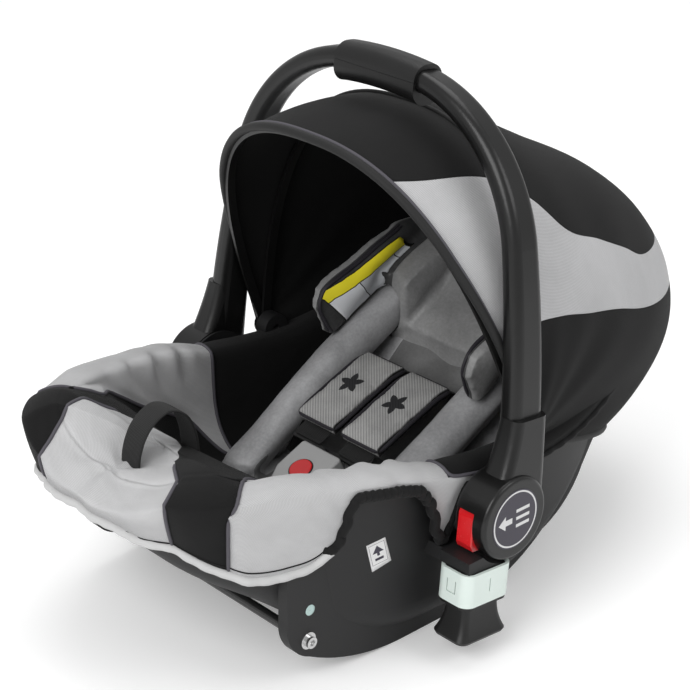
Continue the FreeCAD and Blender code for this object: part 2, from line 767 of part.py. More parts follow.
def make_grip():
    """Two half shells that close round the bar of the handle between the seams."""
    _, corner, top = arch_points()
    gap = size("fit_gap")
    start = math.radians(size("leg_arc_turn"))
    wire = arch_wire(False)
    outer = wire.makePipeShell([handle_section(corner[0][0], corner[0][1], start,
                                               size("grip_depth"), size("grip_width"), 15,
                                               size("grip_drop"))], True, False)
    inner = wire.makePipeShell([handle_section(corner[0][0], corner[0][1], start,
                                               size("arch_thick") + 0.8, size("arch_width") - 1.2,
                                               8.8)], True, False)
    half = size("grip_half_length")
    split = top[1] - size("grip_drop")
    floor = split - 90
    roof = split + 90
    keep = box((-half, -40, floor), (half, 80, roof))
    sleeve = outer.common(keep).cut(inner)
    for name, low, high in (("grip_lower", floor, split - gap / 2),
                            ("grip_upper", split + gap / 2, roof)):
        piece = sleeve.common(box((-half, -40, low), (half, 80, high)))
        solid(name, piece, handle_place())


def make_hub_cover():
    """Lid on the inner side of the housing, with a bore round the pivot pillar's pin."""
    body = new_body("hub_cover_left")
    disc = circles(body, "Disc", "YZ_Plane",
                   [("0", "0", "Sizes.hub_radius - 1"), ("0", "0", "Sizes.pin_radius + 4")],
                   "Sizes.hub_inner")
    pad(body, disc, "Sizes.hub_cover_thick")
    notch = outline(body, "Notch", "YZ_Plane",
                    [("-Sizes.hub_radius - 4", "-Sizes.button_drop - Sizes.button_height / 2 - 0.4"),
                     ("-Sizes.button_reach + Sizes.button_depth + Sizes.button_travel + 1",
                      "-Sizes.button_drop - Sizes.button_height / 2 - 0.4"),
                     ("-Sizes.button_reach + Sizes.button_depth + Sizes.button_travel + 1",
                      "-Sizes.button_drop + Sizes.button_height / 2 + 0.4"),
                     ("-Sizes.hub_radius - 4",
                      "-Sizes.button_drop + Sizes.button_height / 2 + 0.4")],
                    "Sizes.hub_inner + Sizes.hub_cover_thick / 2")
    pocket(body, notch, "Sizes.hub_cover_thick")
    body.Placement = handle_place()
    return body


def make_hub_label():
    body = new_body("hub_label_left")
    disc = circles(body, "Disc", "YZ_Plane", [("0", "0", "Sizes.label_radius")],
                   "Sizes.hub_outer - 0.5 + 0.02")
    pad(body, disc, "Sizes.label_thick")
    body.Placement = handle_place()
    return body


def make_pivot_pin():
    """Steel pin from the shell's pillar into the housing, with the toothed lock wheel."""
    body = new_body("pivot_pin_left")
    shank = circles(body, "Shank", "YZ_Plane", [("0", "0", "Sizes.pin_radius")],
                    "Sizes.hub_inner - 18")
    pad(body, shank, "Sizes.hub_cavity_end - Sizes.hub_inner + 18 - 0.5")
    wheel = circles(body, "Wheel", "YZ_Plane", [("0", "0", "Sizes.gear_radius")],
                    "Sizes.hub_inner + 6")
    pad(body, wheel, "Sizes.gear_thick", name="WheelPad")
    tooth = outline(body, "Gap", "YZ_Plane",
                    [("-1.6", "Sizes.gear_radius - 3"), ("1.6", "Sizes.gear_radius - 3"),
                     ("2.2", "Sizes.gear_radius + 1"), ("-2.2", "Sizes.gear_radius + 1")],
                    "Sizes.hub_inner + 6 + Sizes.gear_thick")
    gap = pocket(body, tooth, "Sizes.gear_thick")
    teeth = body.newObject("PartDesign::PolarPattern", "Teeth")
    teeth.Originals = [gap]
    teeth.Axis = (origin_axis(body, "X_Axis"), [""])
    teeth.Angle = 360
    teeth.Occurrences = int(size("gear_teeth"))
    body.Tip = teeth
    body.Placement = handle_place()
    return body


def origin_axis(body, role):
    return [axis for axis in body.Origin.OriginFeatures if axis.Role == role][0]


def make_release_button():
    """Red press button in the front of the housing, chamfered at its top and bottom."""
    body = new_body("release_button_left")
    front = "-Sizes.button_reach"
    back = "-Sizes.button_reach + Sizes.button_depth"
    low = "-Sizes.button_drop - Sizes.button_height / 2"
    high = "-Sizes.button_drop + Sizes.button_height / 2"
    block = outline(body, "Block", "YZ_Plane",
                    [(back, low), (back, high), (front + " + 3", high),
                     (front, high + " - 6"), (front, low + " + 6"), (front + " + 3", low)],
                    "Sizes.hub_inner + Sizes.hub_cover_thick + Sizes.fit_gap + 0.3")
    pad(body, block, "Sizes.button_width")
    reach = -size("button_reach")
    round_edges(body, "1.5", lambda e: parallel(Vector(0, 0, 1))(e)
                and abs(e.CenterOfMass.y - reach) < 0.1)
    body.Placement = handle_place()
    return body


# ---------------------------------------------------------------- stroller adapters

def make_adapter_body():
    """Spigot inside the collar, dark lip under it, post and flared foot."""
    def section(z, width, length, radius):
        return rounded_rectangle(width, length, radius, Vector(0, 0, z))
    wall = size("collar_wall") + size("fit_gap")
    width = size("post_width")
    length = size("post_length")
    lip_top = -size("collar_height") - size("fit_gap")
    foot = -size("post_foot")
    spigot = Part.Face(section(lip_top - 1, size("collar_width") - 2 * wall,
                               size("collar_length") - 2 * wall, 8))
    body = spigot.extrude(Vector(0, 0, -lip_top - 1))
    lip = Part.Face(section(lip_top - 3, size("collar_width") - 2, size("collar_length") - 2, 10))
    body = body.fuse(lip.extrude(Vector(0, 0, 3)))
    post = loft([section(lip_top - 3, width, length, 6), section(foot + 30, width, length, 6),
                 section(foot + 12, width + 6, length + 7, 7),
                 section(foot + 3, width + 13, length + 16, 9)])
    base = loft([section(foot + 3, width + 13, length + 16, 9),
                 section(foot, width + 10, length + 13, 8)], True)
    return solid("adapter_body_left", body.fuse([post, base]), adapter_place())


def make_adapter_collar():
    """Pale sleeve with a U-shaped snap tab in front and a slit in its outer face."""
    body = new_body("adapter_collar_left")
    half_x = "Sizes.collar_width / 2"
    half_y = "Sizes.collar_length / 2"
    ring = rounded(body, "Ring", "XY_Plane", ("-" + half_x, "-" + half_y), (half_x, half_y),
                   "Sizes.collar_corner")
    pad(body, ring, "Sizes.collar_height", backwards=True)
    hole = rounded(body, "Hole", "XY_Plane",
                   ("-" + half_x + " + Sizes.collar_wall", "-" + half_y + " + Sizes.collar_wall"),
                   (half_x + " - Sizes.collar_wall", half_y + " - Sizes.collar_wall"),
                   "Sizes.collar_corner - Sizes.collar_wall", "1")
    pocket(body, hole, "Sizes.collar_height + 2")
    for name, across in (("SlotA", 4.5), ("SlotB", -5.5)):
        slot = outline(body, name, "XZ_Plane",
                       [(str(across), "-21"), (str(across + 1), "-21"),
                        (str(across + 1), "-9"), (str(across), "-9")],
                       "Sizes.collar_length / 2 + 1")
        pocket(body, slot, "3")
    foot = outline(body, "SlotC", "XZ_Plane", [("-5.5", "-22"), ("5.5", "-22"), ("5.5", "-21"),
                                               ("-5.5", "-21")], "Sizes.collar_length / 2 + 1")
    pocket(body, foot, "3")
    slit = outline(body, "Slit", "YZ_Plane", [("-1", "-21"), ("0.2", "-21"), ("0.2", "-8"),
                                              ("-1", "-8")], "Sizes.collar_width / 2 + 1")
    pocket(body, slit, "3")
    body.Placement = adapter_place()
    return body


# ---------------------------------------------------------------- cross bar

def make_cross_bar():
    body = new_body("front_cross_bar")
    disc = circles(body, "Disc", "YZ_Plane", [("Sizes.bar_y", "Sizes.bar_z", "Sizes.bar_radius")])
    pad(body, disc, "2 * Sizes.skirt_outer", middle=True)
    body.Placement = seat_place()


def make_bar_bolts():
    """Cap screws in the two ends of the cross bar, each with a washer and a hexagon socket."""
    bolts = []
    start = size("skirt_outer")
    across = (size("bar_y"), size("bar_z"))
    for sign in (1, -1):
        def span(low, high):
            return (start + low, start + high) if sign > 0 else (-start - high, -start - low)
        head = rod(5.5, *span(1.2, 6.2), across=across)
        washer = rod(8.2, *span(0, 1.4), across=across)
        corners = [Vector(sign * (start + 3), across[0] + 3.2 * math.cos(math.radians(60 * k)),
                          across[1] + 3.2 * math.sin(math.radians(60 * k))) for k in range(7)]
        socket = Part.Face(Part.makePolygon(corners)).extrude(Vector(sign * 6, 0, 0))
        bolts.append(washer.fuse(head).cut(socket))
    solid("cross_bar_bolts", Part.makeCompound(bolts), seat_place())


# ---------------------------------------------------------------- hood

def hood_point(half_width, reach, power, angle, lean):
    """A point of a hoop: a superellipse in a plane that leans about the rivets' axis."""
    c = math.cos(angle)
    s = math.sin(angle)
    x = half_width * math.copysign(abs(c) ** (2 / power), c)
    out = reach * abs(s) ** (2 / power)
    return Vector(x, out * math.sin(lean), out * math.cos(lean))


def hoop_band(half_width, reach, power, lean, thick, start, steps=20):
    """Closed crescent between a hoop and the same hoop moved inwards by thick."""
    lean = math.radians(lean)
    spread = [k / steps + 0.11 * math.sin(4 * math.pi * k / steps) / 2 for k in range(steps + 1)]
    angles = [math.radians(start + (180 - 2 * start) * share) for share in spread]
    outer = [hood_point(half_width, reach, power, a, lean) for a in angles]
    inner = [hood_point(half_width - thick, reach - thick, power, a, lean) for a in angles]
    edges = []
    for points in (outer, inner):
        curve = Part.BSplineCurve()
        curve.interpolate(points)
        edges.append(curve.toShape())
    ends = [Part.LineSegment(outer[-1], inner[-1]).toShape(),
            Part.LineSegment(inner[0], outer[0]).toShape()]
    return Part.Wire([edges[0], ends[0], edges[1], ends[1]])


# lean behind the middle hoop, reach past the middle hoop's, inset of the side, power of the curve
REAR_HOOPS = [(0.3, 0, 0, 2.5), (15.5, -9, 0.2, 2.6), (31.5, -9, 1, 2.7), (45.5, 7, 2.4, 2.8),
              (57.5, 25, 4.4, 2.9), (69.5, 37, 7.4, 3.0), (81.5, 30, 11.4, 3.1),
              (93.5, -15, 13.4, 3.1), (103.5, -63, 15.4, 3.1)]


def hood_hoops():
    """Lean, reach, half width and power of the hoops of the front and the rear panel."""
    front = size("front_bow_reach") + 0.5
    middle = size("mid_bow_reach")
    lean = size("mid_bow_lean")
    half = size("hood_half_width")
    front_hoops = [(size("front_bow_lean") - 1.8, front, half, 2.5),
                   (lean - 12.5, (front + middle) / 2 - 0.75, half, 2.5),
                   (lean - 0.3, middle, half, 2.5)]
    rear_hoops = [(lean + turn, middle + more, half - inset, power)
                  for turn, more, inset, power in REAR_HOOPS]
    return (("hood_front_fabric", front_hoops), ("hood_rear_fabric", rear_hoops))


def make_hood_fabric():
    """Front panel between the hoops, and rear panel from the middle hoop round the head end."""
    thick = size("hood_fabric")
    for name, hoops in hood_hoops():
        bands = [hoop_band(half, reach, power, lean, thick, 2.4)
                 for lean, reach, half, power in hoops]
        solid(name, loft(bands), hood_place())


def make_bow(label, lean, reach, inner, eye_start):
    """A hoop: a flat strip bent to the hood's curve with a round eye at each end."""
    thick = size("bow_thick")
    half = size("bow_width") / 2
    lean_angle = math.radians(lean)
    normal = Vector(0, math.cos(lean_angle), -math.sin(lean_angle))
    band = hoop_band(inner, reach, 2.5, lean, thick, 0.25)
    band.translate(normal * -half)
    strip = Part.Face(band).extrude(normal * (2 * half))
    eyes = [rod(size("bow_eye_radius"), *sorted((sign * eye_start, sign * (eye_start + thick))))
            for sign in (1, -1)]
    holes = [rod(size("rivet_radius") + 0.05, *sorted((sign * (eye_start - 3), sign * (eye_start + thick + 3))))
             for sign in (1, -1)]
    return solid(label, strip.fuse(eyes).cut(holes), hood_place())


def make_bows():
    gap = 0.4
    fabric = size("hood_fabric")
    front_outer = size("hood_half_width") - fabric - gap
    thick = size("bow_thick")
    make_bow("hood_front_bow", size("front_bow_lean"), size("front_bow_reach") - fabric - 3 * gap,
             front_outer, front_outer - thick)
    make_bow("hood_mid_bow", size("mid_bow_lean"), size("mid_bow_reach") - fabric - gap,
             front_outer - thick - gap, front_outer - 2 * thick - gap)


def make_hood_rivet():
    """Rivet through both hoops' eyes into the shell's ear."""
    body = new_body("hood_rivet_left")
    shank = circles(body, "Shank", "YZ_Plane", [("0", "0", "Sizes.rivet_radius")],
                    "Sizes.ear_face - 11")
    pad(body, shank, "Sizes.hood_half_width - Sizes.ear_face + 8.8")
    head = circles(body, "Head", "YZ_Plane", [("0", "0", "8.5")], "Sizes.hood_half_width - 2.5")
    pad(body, head, "2.4", name="HeadPad")
    body.Placement = hood_place()
    return body


# ---------------------------------------------------------------- soft goods

def loop_ends():
    """Outer faces of the pull strap's two legs, along Y."""
    front = size("adjuster_y") - 38.5
    return front, front + size("loop_length")


def harness_slots():
    """Pocket of the adjuster and slots of the pull strap and the crotch strap in the cover."""
    room = 0.4
    half = size("adjuster_width") / 2 + room
    reach = size("adjuster_length") / 2 + room
    middle = size("adjuster_y")
    low = size("adjuster_z")
    cuts = [box((-half, middle - reach, low - size("fit_gap")), (half, middle + reach, BEYOND))]
    half = size("loop_width") / 2 + room
    thick = size("loop_thick")
    front, back = loop_ends()
    for outer, inner in ((front - 3.6, front + thick + 1.4), (back + 3.6, back - thick - 1.4)):
        cuts.append(box((-half, min(outer, inner), low + 1.7), (half, max(outer, inner), BEYOND)))
    half = size("strap_width") / 2 + 2
    y = crotch_y()
    cuts.append(box((-half, y - 2.5, 0), (half, y + 2.5, size("buckle_z") + 25)))
    return cuts


def crotch_y():
    """Where the crotch strap goes down through the seat."""
    return size("buckle_y") - 38


def make_seat_cover():
    """Padded cover: liner in the bucket, roll over the rim, apron round the foot end."""
    gap = size("cover_gap")
    thick = size("cover_thick")
    outside = hull(OUTER_HULL, 11)
    cover = outside.cut(above_rim(thick)).cut(hull(INNER_HULL, -thick, size("foot_pad")))
    cover = cover.cut(foot_saddle(22, 190))
    inner = hull(INNER_HULL, -2 * gap, gap)
    envelope = hull(OUTER_HULL, gap).cut(above_rim(gap)).cut(inner)
    envelope = envelope.cut(foot_saddle(44 - gap))
    cover = cover.cut(envelope)
    hem = lengthwise([(HEM[0][0], -60)] + HEM + [(330, 330), (330, -60)])
    below_hem = side_prism(hem, -BEYOND, BEYOND)
    cover = cover.cut(below_hem.cut(hull(OUTER_HULL, gap / 2)))
    hub = (0, size("hub_height"))
    hood = (size("pivot_y"), size("pivot_z"))
    holes = []
    for sign in (1, -1):
        def span(low, high):
            return (low, high) if sign > 0 else (-high, -low)
        holes.append(rod(26, *span(size("skirt_outer"), BEYOND), across=hub))
        holes.append(rod(16, *span(size("ear_face") - 19, BEYOND), across=hood))
        holes.append(adapter_socket(span, gap))
        holes.append(arc_prism(skirt_outline(-gap), *span(size("skirt_outer") - 20,
                                                          size("skirt_outer") + gap)))
    holes += harness_slots()
    cover = cover.cut(holes).cut(strap_slots(42, 5, -60, 60))
    return solid("seat_cover", one_piece(cover), seat_place())


# upper side of the body insert in the middle of the seat, as Y and Z
INSERT_TOP = [(-84, 73), (-60, 72), (-20, 71), (20, 78), (60, 99), (130, 145), (190, 196),
              (238, 241)]
BOLSTER_START = (-56, 86)
BOLSTER_END = (222, 236)
# lower end of the head pad's slab, along Y
HEAD_SLAB_END = 138


def bolsters(radius):
    """The round side bolsters, each with a domed lower end."""
    start = Vector(0, *BOLSTER_START)
    run = Vector(0, *BOLSTER_END) - start
    tubes = []
    for sign in (1, -1):
        middle = Vector(sign * (size("insert_width") - size("bolster_radius") - 2), 0, 0)
        tube = Part.makeCylinder(radius, run.Length, start + middle, run)
        tubes.append(tube.fuse(Part.makeSphere(radius, start + middle)))
    return tubes


def seat_hollow():
    """The room inside the seat cover, less a small clearance."""
    return hull(INNER_HULL, -size("cover_thick") - 0.8, size("foot_pad"))


def make_body_insert():
    """Body support: thin seat pad with a round bolster along each side."""
    fill = seat_hollow()
    top = smooth_prism(INSERT_TOP, [(INSERT_TOP[-1][0], 0), (INSERT_TOP[0][0], 0)],
                       -size("insert_width"), size("insert_width"))
    pad_shape = fill.common(top)
    tubes = [tube.common(fill) for tube in bolsters(size("bolster_radius"))]
    slots = strap_slots(42, 5, -60, 60)
    lap = lap_webbing(size("fit_gap"))
    other_lap = lap.mirror(Vector(0, 0, 0), Vector(1, 0, 0))
    body = pad_shape.fuse(tubes).cut(slots).cut([lap, other_lap])
    return solid("body_insert", one_piece(body), seat_place())


def on_bolster(y):
    """Height of the bolsters' upper side at a place along the seat, with a small gap."""
    slope = (BOLSTER_END[1] - BOLSTER_START[1]) / float(BOLSTER_END[0] - BOLSTER_START[0])
    lift = size("bolster_radius") * math.sqrt(1 + slope * slope) + 0.6
    return BOLSTER_START[1] + (y - BOLSTER_START[0]) * slope + lift


def make_head_pad():
    """Head support: a back slab, cheeks that wrap the bolsters, and two standing wings."""
    fill = seat_hollow()
    wing = [(70, on_bolster(70)), (52, 219), (62, 237), (172, 279), (214, 279), (246, 269),
            (226, on_bolster(226))]
    cheek = [(HEAD_SLAB_END, 160), (226, 232), (226, on_bolster(226) + 10),
             (HEAD_SLAB_END, on_bolster(HEAD_SLAB_END) + 10)]
    outer = size("insert_width")
    inner = outer - size("wing_thick")
    pieces = []
    for sign in (1, -1):
        pieces.append(side_prism(wing, *sorted((sign * inner, sign * outer))))
        pieces.append(side_prism(cheek, *sorted((sign * (inner - 38), sign * outer))))
    last = INSERT_TOP[-1][0]
    slab = smooth_prism([(y, z + size("head_slab")) for y, z in INSERT_TOP[4:]],
                        [(last, 0), (INSERT_TOP[4][0], 0)], -inner - 1, inner + 1)
    under = smooth_prism([(y, z + 2 * size("fit_gap")) for y, z in INSERT_TOP],
                         [(last, 0), (INSERT_TOP[0][0], 0)], -BEYOND, BEYOND)
    slab = slab.cut(box((-BEYOND, 0, 0), (BEYOND, HEAD_SLAB_END, BEYOND)))
    body = slab.fuse(pieces).cut(under)
    body = body.cut(bolsters(size("bolster_radius") + 0.5)).common(fill)
    return solid("head_pad", one_piece(body), seat_place())


# ---------------------------------------------------------------- harness

def strap(points, width, x_middle, thick):
    """Webbing laid along a side view path, carried across X."""
    upper = []
    lower = []
    for i, (y, z) in enumerate(points):
        before = points[max(i - 1, 0)]
        after = points[min(i + 1, len(points) - 1)]
        run = Vector(0, after[0] - before[0], after[1] - before[1]).normalize()
        upper.append((y - run.z * thick / 2, z + run.y * thick / 2))
        lower.append((y + run.z * thick / 2, z - run.y * thick / 2))
    return side_prism(upper + lower[::-1], x_middle - width / 2, x_middle + width / 2)


SHOULDER_PATH = [(-18, 121.6), (0, 129.6), (40, 146.6), (75, 159), (98, 161), (112, 152), (145, 113)]


def make_shoulder_strap():
    path = SHOULDER_PATH
    band = strap(path, size("strap_width"), size("strap_x"), size("strap_thick"))
    return solid("shoulder_strap_left", band, seat_place())


def make_shoulder_pad():
    """Padded sleeve lying on the shoulder strap."""
    gap = size("fit_gap") + size("strap_thick") / 2
    path = [(-4, 127.9), (0, 129.6), (40, 146.6), (75, 159), (90, 160.3)]
    thick = size("pad_thick")
    lifted = []
    for i, (y, z) in enumerate(path):
        before = path[max(i - 1, 0)]
        after = path[min(i + 1, len(path) - 1)]
        run = Vector(0, after[0] - before[0], after[1] - before[1]).normalize()
        lift = gap + thick / 2 + 0.4
        lifted.append((y - run.z * lift, z + run.y * lift))
    band = strap(lifted, size("pad_width"), size("strap_x"), thick)
    return solid("shoulder_pad_left", band, seat_place())


def make_buckle():
    """Buckle housing with a round well for its button and a mouth for the tongues."""
    body = new_body("buckle_body")
    half = "Sizes.buckle_width / 2"
    end = "Sizes.buckle_length / 2"
    base = outline(body, "Base", "XY_Plane",
                   [("-" + half + " + 10", "-" + end), (half + " - 10", "-" + end),
                    (half, "-" + end + " + 22"), (half, end), ("-" + half, end),
                    ("-" + half, "-" + end + " + 22")], "-Sizes.buckle_thick / 2")
    pad(body, base, "Sizes.buckle_thick")
    round_edges(body, "4", parallel(Vector(0, 0, 1)))
    top = size("buckle_thick") / 2
    round_edges(body, "2.5", lambda e: abs(e.CenterOfMass.z - top) < 0.01)
    well = circles(body, "Well", "XY_Plane",
                   [("0", "0", "Sizes.buckle_button_radius + 0.4")], "Sizes.buckle_thick / 2 + 1")
    pocket(body, well, "Sizes.buckle_travel + 5 + 1")
    mouth = outline(body, "Mouth", "XY_Plane",
                    [("-20", end + " - 16"), ("20", end + " - 16"), ("20", end + " + 1"),
                     ("-20", end + " + 1")], "2.5")
    pocket(body, mouth, "5")
    body.Placement = buckle_place()


def make_buckle_button():
    body = new_body("buckle_button")
    disc = circles(body, "Disc", "XY_Plane", [("0", "0", "Sizes.buckle_button_radius")],
                   "Sizes.buckle_thick / 2 - 4")
    pad(body, disc, "5.5")
    top = size("buckle_thick") / 2 + 1.5
    round_edges(body, "1", lambda e: abs(e.CenterOfMass.z - top) < 0.01)
    body.Placement = buckle_place()


def make_tongue():
    """Metal tongue pushed into the buckle, its wide end round the shoulder strap."""
    body = new_body("tongue_left")
    end = "Sizes.buckle_length / 2"
    plate = outline(body, "Plate", "XY_Plane",
                    [("0.4", end + " - 15"), ("19", end + " - 15"), ("19", end + " + 3"),
                     ("50", end + " + 3"), ("50", end + " + 8"), ("12", end + " + 8"),
                     ("0.4", end + " + 3")], "-1.2")
    pad(body, plate, "2.4")
    body.Placement = buckle_place()
    return body


def make_crotch_parts():
    """Crotch strap from the seat to the buckle and the soft pad behind it."""
    tilt = buckle_place()
    half = size("crotch_pad_width") / 2
    reach = size("crotch_pad_length") / 2
    top = -size("buckle_thick") / 2 - 0.4
    pad_shape = box((-half, 1 - reach, top - size("crotch_pad_thick")), (half, 1 + reach, top))
    vertical = [e for e in pad_shape.Edges if parallel(Vector(0, 0, 1))(e)]
    solid("crotch_pad", pad_shape.makeFillet(12, vertical), tilt)
    half = size("strap_width") / 2
    thick = size("strap_thick")
    end = -size("buckle_length") / 2
    web = box((-half, end - 12.6, -thick), (half, end - size("fit_gap"), 0))
    web.Placement = tilt
    y = crotch_y()
    top = size("buckle_z") - 13
    tail = box((-half, y - thick / 2, top - 30), (half, y + thick / 2, top))
    tail.Placement = seat_place()
    solid("crotch_strap", web.fuse(tail), Placement())


def lap_webbing(grow=0.0):
    """Lap strap from the tongue out to the side of the seat."""
    start = Vector(52 - grow, size("buckle_y") + 34, size("buckle_z") + 12.2)
    end = Vector(62 + grow, 22, 84)
    run = end - start
    across = Vector(0, 1, 0.9).normalize()
    normal = run.cross(across).normalize()
    half = across * (17 + grow)
    low = normal * -grow
    corners = [low + p for p in (start - half, start + half, end + half, end - half)]
    face = Part.Face(Part.makePolygon(corners + corners[:1]))
    return face.extrude(normal * (size("strap_thick") + 2 * grow))


def make_lap_strap():
    """Left lap strap."""
    return solid("lap_strap_left", lap_webbing(), seat_place())


def make_pull_strap():
    """Webbing loop of the harness adjuster at the foot end."""
    half = size("loop_width") / 2
    thick = size("loop_thick")
    front, back = loop_ends()
    low = size("adjuster_z") + 2
    top = low + size("loop_height")
    crown = (front + back) / 2 + 2
    outer = [(front, low), (crown, top), (back, low)]
    inner = [(front + thick, low), (crown, top - thick + 0.5), (back - thick, low)]
    shape = arc_prism([outer, [outer[2], inner[2]], inner[::-1], [inner[0], outer[0]]],
                      -half, half)
    solid("pull_strap_loop", shape, seat_place())


def make_adjuster():
    """Harness adjuster under the loop: a low housing with a press lever in its well."""
    def plate(body, width, length, shift, level, room="0"):
        """A rectangle about the adjuster's middle, its sides moved outwards by room."""
        x = "Sizes.%s / 2 + %s" % (width, room)
        low = "Sizes.adjuster_y + %s - Sizes.%s / 2 - %s" % (shift, length, room)
        high = "Sizes.adjuster_y + %s + Sizes.%s / 2 + %s" % (shift, length, room)
        return outline(body, "Plate" + level[-1:], "XY_Plane",
                       [("-(" + x + ")", low), (x, low), (x, high), ("-(" + x + ")", high)], level)
    body = new_body("adjuster_body")
    base = plate(body, "adjuster_width", "adjuster_length", "0", "Sizes.adjuster_z")
    pad(body, base, "Sizes.adjuster_thick")
    round_edges(body, "4", parallel(Vector(0, 0, 1)))
    well = plate(body, "lever_width", "lever_length", "-4.5",
                 "Sizes.adjuster_z + Sizes.adjuster_thick + 1", "0.4")
    pocket(body, well, "7")
    body.Placement = seat_place()
    lever = new_body("adjuster_button")
    top = plate(lever, "lever_width", "lever_length", "-4.5",
                "Sizes.adjuster_z + Sizes.adjuster_thick - 3")
    pad(lever, top, "5")
    round_edges(lever, "2", parallel(Vector(0, 0, 1)))
    lever.Placement = seat_place()


# ---------------------------------------------------------------- assembly

def build():
    fill_sheet()
    make_shell()
    make_cross_bar()
    make_bar_bolts()
    make_handle_frame()
    make_grip()
    for make in (make_hub_cover, make_hub_label, make_pivot_pin, make_release_button,
                 make_adapter_body, make_adapter_collar, make_hood_rivet):
        pair(make)
    make_bows()
    make_hood_fabric()
    make_seat_cover()
    make_body_insert()
    make_head_pad()
    for make in (make_shoulder_strap, make_shoulder_pad, make_tongue, make_lap_strap):
        pair(make)
    make_buckle()
    make_buckle_button()
    make_crotch_parts()
    make_pull_strap()
    make_adjuster()
    doc.recompute()


def check_and_export():
    """Refuse a failed object or a bad shape, then write one STEP file for each sub-part."""
    for item in doc.Objects:
        if "Invalid" in item.State or "Error" in item.State:
            raise RuntimeError(item.Label + " failed: " + str(item.State))
    for part in PARTS:
        if part.Shape.isNull() or not part.Shape.isValid():
            raise RuntimeError(part.Label + " has no valid shape")
    os.makedirs("parts", exist_ok=True)
    for part in PARTS:
        part.Shape.exportStep("parts/" + part.Label + ".step")
        bounds = part.Shape.optimalBoundingBox(True, False)
        print("%-22s solids %d  volume %8.1f cm3  X %7.1f %7.1f  Y %7.1f %7.1f  Z %7.1f %7.1f" % (
            part.Label, len(part.Shape.Solids), part.Shape.Volume / 1000, bounds.XMin,
            bounds.XMax, bounds.YMin, bounds.YMax, bounds.ZMin, bounds.ZMax))


build()
check_and_export()
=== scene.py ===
import json
import math

import bmesh
import bpy
import numpy as np
from mathutils import Matrix, Vector
from mathutils.bvhtree import BVHTree


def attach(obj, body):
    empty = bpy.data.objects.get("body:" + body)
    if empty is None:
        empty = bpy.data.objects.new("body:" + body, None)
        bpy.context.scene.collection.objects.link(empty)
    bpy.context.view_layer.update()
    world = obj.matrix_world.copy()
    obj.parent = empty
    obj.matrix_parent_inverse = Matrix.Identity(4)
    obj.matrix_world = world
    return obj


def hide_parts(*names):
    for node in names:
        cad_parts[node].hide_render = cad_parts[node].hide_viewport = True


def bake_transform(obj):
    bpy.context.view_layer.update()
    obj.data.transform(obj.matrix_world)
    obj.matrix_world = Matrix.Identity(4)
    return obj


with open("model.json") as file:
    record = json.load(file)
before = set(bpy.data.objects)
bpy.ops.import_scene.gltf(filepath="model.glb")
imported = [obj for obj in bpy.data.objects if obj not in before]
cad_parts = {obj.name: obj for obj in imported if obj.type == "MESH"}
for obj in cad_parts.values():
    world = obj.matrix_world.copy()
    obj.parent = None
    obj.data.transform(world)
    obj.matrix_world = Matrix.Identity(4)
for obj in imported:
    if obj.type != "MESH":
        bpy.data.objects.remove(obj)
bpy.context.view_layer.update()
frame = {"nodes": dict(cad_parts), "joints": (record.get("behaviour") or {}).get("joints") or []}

scene = bpy.context.scene
nodes = frame["nodes"]
joint = {j["name"]: j for j in frame["joints"]}
hub = np.array(joint["handle_swing"]["pos_m"])
pivot = np.array(joint["hood_fold"]["pos_m"])
HANDS = ((1, "left"), (-1, "right"))


# --- The studio: a pale floor, soft light from all round and three large soft boxes.
# The camera stands ahead of the foot end and to the seat's left, looking down at it.
scene.view_settings.view_transform = "Standard"
azimuth, elevation = math.radians(47.52), math.radians(25.29)
back = Vector((math.sin(azimuth) * math.cos(elevation), -math.cos(azimuth) * math.cos(elevation),
               math.sin(elevation)))
right = Vector((math.cos(azimuth), math.sin(azimuth), 0))
lens = bpy.data.cameras.new("camera")
lens.sensor_width = 36
lens.lens = 101.36
camera = bpy.data.objects.new("camera", lens)
camera.matrix_world = Matrix((right, back.cross(right), back)).transposed().to_4x4()
camera.location = (1.2231, hub[1] - 1.1165, hub[2] + 0.8738)
scene.collection.objects.link(camera)
scene.camera = camera


class Shade:
    """A number on a surface; sums, products and comparisons of it grow Math nodes."""

    def __init__(self, tree, socket):
        self.tree = tree
        self.socket = socket

    def math(self, operation, *others, flip=False):
        """This operation on the number itself and the others."""
        node = self.tree.nodes.new("ShaderNodeMath")
        node.operation = operation
        terms = [self, *others]
        if flip:
            terms[0], terms[1] = terms[1], terms[0]
        for place, term in zip(node.inputs, terms):
            if isinstance(term, Shade):
                self.tree.links.new(term.socket, place)
            else:
                place.default_value = term
        return Shade(self.tree, node.outputs[0])

    def __add__(self, other): return self.math("ADD", other)
    __radd__ = __add__
    def __sub__(self, other): return self.math("SUBTRACT", other)
    def __rsub__(self, other): return self.math("SUBTRACT", other, flip=True)
    def __mul__(self, other): return self.math("MULTIPLY", other)
    __rmul__ = __mul__
    def __abs__(self): return self.math("ABSOLUTE")
    def __gt__(self, other): return self.math("GREATER_THAN", other)
    def __lt__(self, other): return self.math("LESS_THAN", other)
    def root(self): return self.math("SQRT")
    def least(self, other): return self.math("MINIMUM", other)
    def most(self, other): return self.math("MAXIMUM", other)

    def wave(self, pitch):
        """A sine wave over this length, both in metres."""
        return (self * (2 * math.pi / pitch)).math("SINE")

    def ramp(self, low, high):
        """0 below low, 1 above high, smooth between."""
        node = self.tree.nodes.new("ShaderNodeMapRange")
        node.interpolation_type = "SMOOTHSTEP"
        self.tree.links.new(self.socket, node.inputs[0])
        node.inputs[1].default_value = low
        node.inputs[2].default_value = high
        return Shade(self.tree, node.outputs[0])


